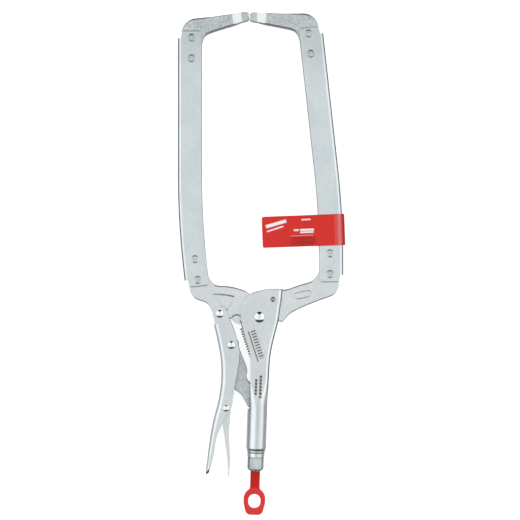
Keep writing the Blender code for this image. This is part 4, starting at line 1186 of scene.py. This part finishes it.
def ringMesh():
    # Drawn upright in the screw's own x and y: a tapering loop under a flat neck, then leaned to the screw
    middle = ringSet["middle"]
    outline = np.vstack([arcAround((0, middle + 2.0), ringSet["wide"], 0, 60, 14),
                         [(ringSet["neck"], middle + 12.6), (ringSet["neck"], screwSet["bottom"] - 0.3)]])
    foot = np.vstack([arcAround((3.0, -71.7), 5.4, -78, -8, 12), [(ringSet["wide"], -66.0)]])
    rightSide = np.vstack([foot, outline])
    line = outlineOf([rightSide, rightSide[::-1] * (-1, 1)], 0.5, 0.35)
    mesh = flatPiece("ring_body", line, ringSet["half"], ringSet["rim"], 7)
    upperHalf = arcAround((0, middle + 1.0), ringSet["hole"], 0, 180)
    hole = outlineOf([upperHalf, arcAround((0, middle - 1.0), ringSet["hole"], 180, 360)], 0.3, 0.3)
    cutters = [carriedMesh(flaredCutter(name, hole, -0.5, ringSet["half"], ringSet["holeFlare"]), rule)
               for name, rule in (("ring_hole", asIs), ("ring_hole_below", turnedOver))]
    mesh = tidied(carved(mesh, cutters))
    local = cornersOf(mesh)
    # Painted shade: the neck darkened all over, and a painted shadow arc in the loop under it
    neck = blend01(local[:, 1], middle + 12.2, middle + 13.2)
    arch = np.abs(np.hypot(local[:, 0], local[:, 1] - (middle + 19.0)) - 7.6)
    arch = (1 - blend01(arch, 0.1, 0.8)) * (local[:, 1] < middle + 12.4) * 0.35
    marked(mesh, "darkPrintAndShade", np.maximum(neck, arch))
    return carriedMesh(mesh, leaned)


finished("screw_thread", screwMesh(), "screw", ["adjusting_screw"], [plated], 60)
finished("nose_button", noseMesh(), "nose", ["nose_pad"], [shadedLinkSteel])
finished("ring_tab", ringMesh(), "screw", ["thumb_ring"], [ringRed])
print("screw and ring ready")


# Return spring

springSet = {"radius": 2.3, "wire": 0.42, "turns": 15, "start": 7.0, "endBack": 7.5, "loop": 2.25}
springSet |= {"keep": 0.88}


def springMesh():
    # A helix, cos and sin of the running angle about the line from hole to pin, between a hook and a loop
    top = np.array(centres["springHole"])
    foot = np.array(centres["springAnchor"])
    length = np.linalg.norm(foot - top)
    along = (foot - top) / length
    across = np.array((-along[1], along[0]))
    radius = springSet["radius"]
    start, end = springSet["start"], length - springSet["endBack"]
    t = np.linspace(0, 1, springSet["turns"] * 20 + 1)
    angle = 2 * np.pi * springSet["turns"] * t
    coil = np.stack([start + (end - start) * t, radius * np.sin(angle), radius * np.cos(angle)], axis=1)
    hook = [(0, 0, -2.4), (0, 0, 0.2), (0.15, 0, 1.6), (0.8, 0, radius), (start - 1, 0, radius)]
    loopAngle = np.radians(np.linspace(0, 200, 22))
    bow = springSet["loop"]
    loop = np.column_stack([length + bow * np.sin(loopAngle), bow * np.cos(loopAngle), 0 * loopAngle])
    lead = [(end + 1.5, 0.9, radius * 0.55), (end + 3.2, 2.1, 0.0)]
    route = np.vstack([throughPoints(hook, 5), coil, throughPoints([*lead, loop[0]], 5)[:-1], loop])
    flat = top + route[:, :1] * along + route[:, 1:2] * across
    return strand("spring", np.column_stack([flat, route[:, 2]]), springSet["wire"], 10), along


springShape, springAlong = springMesh()
spring = finished("coil_spring", springShape, "fixed_side", ["return_spring"], [springSteel], 60)
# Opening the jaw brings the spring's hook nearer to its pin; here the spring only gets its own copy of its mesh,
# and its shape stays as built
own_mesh(spring)
print("spring ready")


# Card

# Its place up the arm, its reach and its two sides across it, and its print: bars (centre, size, slant), rows
cardSet = {
    "up": 27.2, "reach": -62.3, "left": -13.6, "right": 12.63, "fold": 5.0, "skin": 0.42, "high": 28.1,
    "proud": 1.6, "cornerRadius": 1.6, "rows": 68,
    "whiteBars": [
        ((-49.5, 7.2), (19, 2.9), 14), ((-50.5, 2.6), (15.5, 1.2), 16), ((-22.3, 10.1), (8.2, 1.1), 0),
        ((-31.5, 0.9), (4.4, 1.5), 0), ((-21.8, 0.9), (12.5, 1.7), 0), ((-22.0, -1.3), (12.0, 1.4), 0),
    ],
    "darkRows": [(-34.0, 16.0), (-30.5, 12.0), (-34.0, 18.5), (-30.0, 12.5)],
}


def cardMesh():
    # A folded strip: across runs along its bent profile in x and z, up runs along the arm.
    # At the free end the strip's half height follows a quarter circle, which rounds its two corners.
    fold, skin = cardSet["fold"], cardSet["skin"]
    top = thick["arm"] / 2 + cardSet["proud"] - skin / 2 - 0.04
    right, left = cardSet["right"] - skin / 2 - 0.02, cardSet["left"] + skin / 2
    radius = fold - skin / 2
    upperFold = arcAround((right - radius, top - radius), radius, 90, 0, 14)
    lowerFold = arcAround((right - radius, radius - top), radius, 0, -90, 14)
    panel = [(cardSet["reach"] + 0.02, top - 0.45), (-40, top - 0.5), (left - 1.2, top - 0.42)]
    panel += [(left - 0.3, top - 0.16), (left + 0.4, top - 0.02), (left + 2.0, top), (0, top)]
    inside = [(left, -top + 0.6), (left, top - skin - 0.75)]
    profile = np.vstack([panel, upperFold, lowerFold, [(left + 0.8, -top)], inside])
    profile = spaced(profile, gap=0.42)
    run = profile[:, 0] - profile[0, 0]
    isPanel = np.arange(len(profile)) < np.argmax(profile[:, 0])
    r = cardSet["cornerRadius"]
    pull = np.where(isPanel, r - np.sqrt(np.maximum(r**2 - np.maximum(r - run, 0) ** 2, 0)), 0)
    up = np.linspace(-1, 1, cardSet["rows"])[None, :] * (cardSet["high"] / 2 - pull)[:, None]
    turn = cardSet["up"] / armSet["bendRadius"]
    x0 = armSet["foot"][0] - armSet["bendRadius"] * (1 - math.cos(turn))
    y0 = armSet["foot"][1] + armSet["straight"] + armSet["bendRadius"] * math.sin(turn)
    c, s = math.cos(turn), math.sin(turn)
    across = profile[:, :1]
    grid = np.dstack([x0 + across * c - up * s, y0 + across * s + up * c, profile[:, 1:] + 0 * up])
    mesh = meshOf("card", grid, gridFaces(len(profile), cardSet["rows"], closeColumns=False))
    # Print: plain bars in the card's own across and up, on the front panel only
    local = np.column_stack([(across + 0 * up).ravel(), up.ravel()])
    front = np.repeat(isPanel, cardSet["rows"])
    printAndHighlight = np.zeros(len(local))
    for centre, size, angle in cardSet["whiteBars"]:
        printAndHighlight = np.maximum(printAndHighlight, barMask(local, centre, size, angle, 0.3))
    printAndHighlight = np.maximum(printAndHighlight, 0.35 * barMask(local, (-26.5, -4.2), (21, 0.6), 0, 0.3))
    # A painted highlight just before the fold, put in with the white print
    glint = 0.06 * barMask(local, (6.4, 0), (6.4, 60), 0, 0.6)
    printAndHighlight = np.maximum(printAndHighlight, glint + 0.12 * barMask(local, (7.4, 0), (2.4, 60), 0, 0.6))
    deep = 0.42 * barMask(local, (-25.4, -9.2), (22.5, 9.0), 0, 0.4)
    for k, (start, long) in enumerate(cardSet["darkRows"]):
        centre = (start + long / 2, -6.2 - 1.0 * (k % 2) - 4.0 * (k // 2))
        deep = np.maximum(deep, 0.85 * barMask(local, centre, (long, 0.7), 0, 0.25))
    # Painted shade over the fold, where the card turns away
    foldShade = blend01(local[:, 0], 9.6, 10.6) * 0.75
    marked(mesh, "whitePrintAndHighlight", printAndHighlight * front)
    return marked(mesh, "darkPrintAndShade", np.maximum(deep, foldShade) * front)


card = finished("card_wrap", cardMesh(), "fixed_side", ["card_sleeve"], [cardRed], 60)
# The sheet has no flat faces to keep, and its wall is added here
card.modifiers.remove(card.modifiers[0])
wall = card.modifiers.new("card thickness", "SOLIDIFY")
wall.thickness = cardSet["skin"] * mm
wall.offset = 0
wall.use_even_offset = True
print("card ready")


# Floor, light and camera


floorSet = {"radius": 0.9, "below": 0.0001, "tone": 0.55, "glow": 0.82}


def floorFinish():
    material = bpy.data.materials.new("pale floor")
    material.use_nodes = True
    nodes, links = material.node_tree.nodes, material.node_tree.links
    nodes.clear()
    surface = nodes.new("ShaderNodeOutputMaterial")
    surface.label = "surface"
    surface.location = (320, 0)
    shader = nodes.new("ShaderNodeBsdfPrincipled")
    shader.label = "pale matt floor, lit a little from within"
    shader.inputs["Base Color"].default_value = (floorSet["tone"], floorSet["tone"], floorSet["tone"], 1)
    shader.inputs["Roughness"].default_value = 0.9
    shader.inputs["Specular IOR Level"].default_value = 0.1
    shader.inputs["Emission Color"].default_value = (1, 1, 1, 1)
    shader.inputs["Emission Strength"].default_value = floorSet["glow"]
    links.new(shader.outputs["BSDF"], surface.inputs["Surface"])
    return material


floorMesh = bpy.data.meshes.new("floor")
rim = arcAround((0, 0), floorSet["radius"], 0, 360, 96)[:-1]
rim = np.column_stack([rim, np.full(len(rim), cadBox[0][2] - floorSet["below"])])
floorMesh.from_pydata(rim, [], [list(range(len(rim)))])
floorMesh.materials.append(floorFinish())
floor = bpy.data.objects.new("floor", floorMesh)
floor.visible_glossy = False
bpy.context.scene.collection.objects.link(floor)


# Light by height from -1, straight down, to 1, straight up, as (place in that range, light). The light falls
# off towards the handles between two values of y, and in a wedge towards the jaws.
studioSet = {
    "heights": [
        (0, 0.55), (0.30, 0.52), (0.50, 0.45), (0.58, 0.65), (0.70, 1.30), (0.94, 1.38), (0.975, 0.92), (1, 0.82),
    ],
    "handleFall": (-0.34, -0.60), "handleLight": 0.06, "wedgeWide": 0.62, "wedgeEdge": 0.12,
    "wedgeRise": (0.30, 0.55), "wedgeLight": 0.05, "backdrop": 0.9,
}


def studioWorld():
    # Light by height above the horizon: dark at and below it, brightest half way up, softer overhead.
    # A darker stretch towards the handles gives the domes and dimples their dark lower rims.
    world = bpy.data.worlds.new("studio")
    world.use_nodes = True
    nodes, links = world.node_tree.nodes, world.node_tree.links
    nodes.clear()
    place = nodes.new("ShaderNodeTexCoord")
    place.label = "direction"
    split = nodes.new("ShaderNodeSeparateXYZ")
    split.label = "height above the horizon"
    ramp = nodes.new("ShaderNodeValToRGB")
    ramp.label = "light by height"
    stops = studioSet["heights"]
    ramp.color_ramp.elements.remove(ramp.color_ramp.elements[1])
    ramp.color_ramp.elements[0].position = stops[0][0]
    ramp.color_ramp.elements[0].color = (stops[0][1],) * 3 + (1,)
    for at, tone in stops[1:]:
        ramp.color_ramp.elements.new(at).color = (tone, tone, tone * 1.01, 1)
    toUnit = nodes.new("ShaderNodeMapRange")
    toUnit.label = "height to ramp"
    toUnit.inputs["From Min"].default_value = -1
    toUnit.inputs["From Max"].default_value = 1
    front = nodes.new("ShaderNodeMapRange")
    front.label = "towards the handles"
    front.interpolation_type = "SMOOTHSTEP"
    front.inputs["From Min"].default_value = studioSet["handleFall"][0]
    front.inputs["From Max"].default_value = studioSet["handleFall"][1]
    front.inputs["To Min"].default_value = 1.0
    front.inputs["To Max"].default_value = studioSet["handleLight"]
    aside = nodes.new("ShaderNodeMath")
    aside.label = "sideways"
    aside.operation = "ABSOLUTE"
    wedge = nodes.new("ShaderNodeMath")
    wedge.label = "narrow wedge towards the jaws"
    wedge.operation = "MULTIPLY_ADD"
    wedge.inputs[1].default_value = studioSet["wedgeWide"]
    inWedge = nodes.new("ShaderNodeMapRange")
    inWedge.label = "soft edge of the wedge"
    inWedge.interpolation_type = "SMOOTHSTEP"
    inWedge.inputs["From Min"].default_value = 0.0
    inWedge.inputs["From Max"].default_value = studioSet["wedgeEdge"]
    flip = nodes.new("ShaderNodeMath")
    flip.label = "minus sideways"
    flip.operation = "MULTIPLY"
    flip.inputs[1].default_value = -1
    low = nodes.new("ShaderNodeMapRange")
    low.label = "only well towards the jaws"
    low.interpolation_type = "SMOOTHSTEP"
    low.inputs["From Min"].default_value = studioSet["wedgeRise"][0]
    low.inputs["From Max"].default_value = studioSet["wedgeRise"][1]
    both = nodes.new("ShaderNodeMath")
    both.label = "wedge well towards the jaws"
    both.operation = "MULTIPLY"
    notch = nodes.new("ShaderNodeMapRange")
    notch.label = "wedge darkness"
    notch.inputs["To Min"].default_value = 1.0
    notch.inputs["To Max"].default_value = studioSet["wedgeLight"]
    shade = nodes.new("ShaderNodeMath")
    shade.label = "both dark stretches"
    shade.operation = "MULTIPLY"
    links.new(split.outputs["X"], aside.inputs[0])
    links.new(aside.outputs["Value"], flip.inputs[0])
    links.new(split.outputs["Y"], wedge.inputs[0])
    links.new(flip.outputs["Value"], wedge.inputs[2])
    links.new(wedge.outputs["Value"], inWedge.inputs["Value"])
    links.new(split.outputs["Y"], low.inputs["Value"])
    links.new(inWedge.outputs["Result"], both.inputs[0])
    links.new(low.outputs["Result"], both.inputs[1])
    links.new(both.outputs["Value"], notch.inputs["Value"])
    links.new(notch.outputs["Result"], shade.inputs[0])
    dim = nodes.new("ShaderNodeMix")
    dim.label = "darker towards the handles"
    dim.data_type = "RGBA"
    dim.blend_type = "MULTIPLY"
    dim.inputs["Factor"].default_value = 1.0
    light = nodes.new("ShaderNodeBackground")
    light.label = "studio light"
    plain = nodes.new("ShaderNodeBackground")
    plain.label = "plain pale backdrop"
    plain.inputs["Color"].default_value = (studioSet["backdrop"],) * 3 + (1,)
    seen = nodes.new("ShaderNodeLightPath")
    seen.label = "what the camera sees directly"
    pick = nodes.new("ShaderNodeMixShader")
    pick.label = "backdrop behind, studio in reflections"
    out = nodes.new("ShaderNodeOutputWorld")
    out.label = "studio surroundings"
    links.new(place.outputs["Generated"], split.inputs["Vector"])
    links.new(split.outputs["Z"], toUnit.inputs["Value"])
    links.new(toUnit.outputs["Result"], ramp.inputs["Fac"])
    links.new(split.outputs["Y"], front.inputs["Value"])
    links.new(ramp.outputs["Color"], dim.inputs["A"])
    links.new(front.outputs["Result"], shade.inputs[1])
    links.new(shade.outputs["Value"], dim.inputs["B"])
    links.new(dim.outputs["Result"], light.inputs["Color"])
    links.new(seen.outputs["Is Camera Ray"], pick.inputs["Fac"])
    links.new(light.outputs["Background"], pick.inputs[1])
    links.new(plain.outputs["Background"], pick.inputs[2])
    links.new(pick.outputs["Shader"], out.inputs["Surface"])
    chain = [place, split, toUnit, front, ramp, aside, flip, wedge, inWedge, low, both, notch, shade, dim]
    chain += [light, plain, seen, pick, out]
    for k, node in enumerate(chain):
        node.location = (k * 190 - 900, 200 - 180 * (k % 2))
    return world


bpy.context.scene.world = studioWorld()

lampSet = {"place": (0.35, 0.45, 0.9), "size": 0.5, "power": 2.0}
lampData = bpy.data.lights.new("soft lamp", "AREA")
lampData.size = lampSet["size"]
lampData.energy = lampSet["power"]
lamp = bpy.data.objects.new("soft lamp", lampData)
lamp.location = lampSet["place"]
lampX, lampY, lampZ = lampSet["place"]
lamp.rotation_euler = (math.atan2(math.hypot(lampX, lampY), lampZ), 0, math.atan2(lampX, -lampY))
lamp.visible_glossy = False
bpy.context.scene.collection.objects.link(lamp)

cameraSet = {"lens": 85, "sensor": 36, "over": (-0.0015, 0.0031), "away": 1.116}
cameraData = bpy.data.cameras.new("camera")
cameraData.lens = cameraSet["lens"]
cameraData.sensor_width = cameraSet["sensor"]
camera = bpy.data.objects.new("camera", cameraData)
camera.location = (*cameraSet["over"], pivot[2] + cameraSet["away"])
bpy.context.scene.collection.objects.link(camera)
bpy.context.scene.camera = camera
bpy.context.scene.view_settings.view_transform = "Standard"
print("floor, light and camera ready")
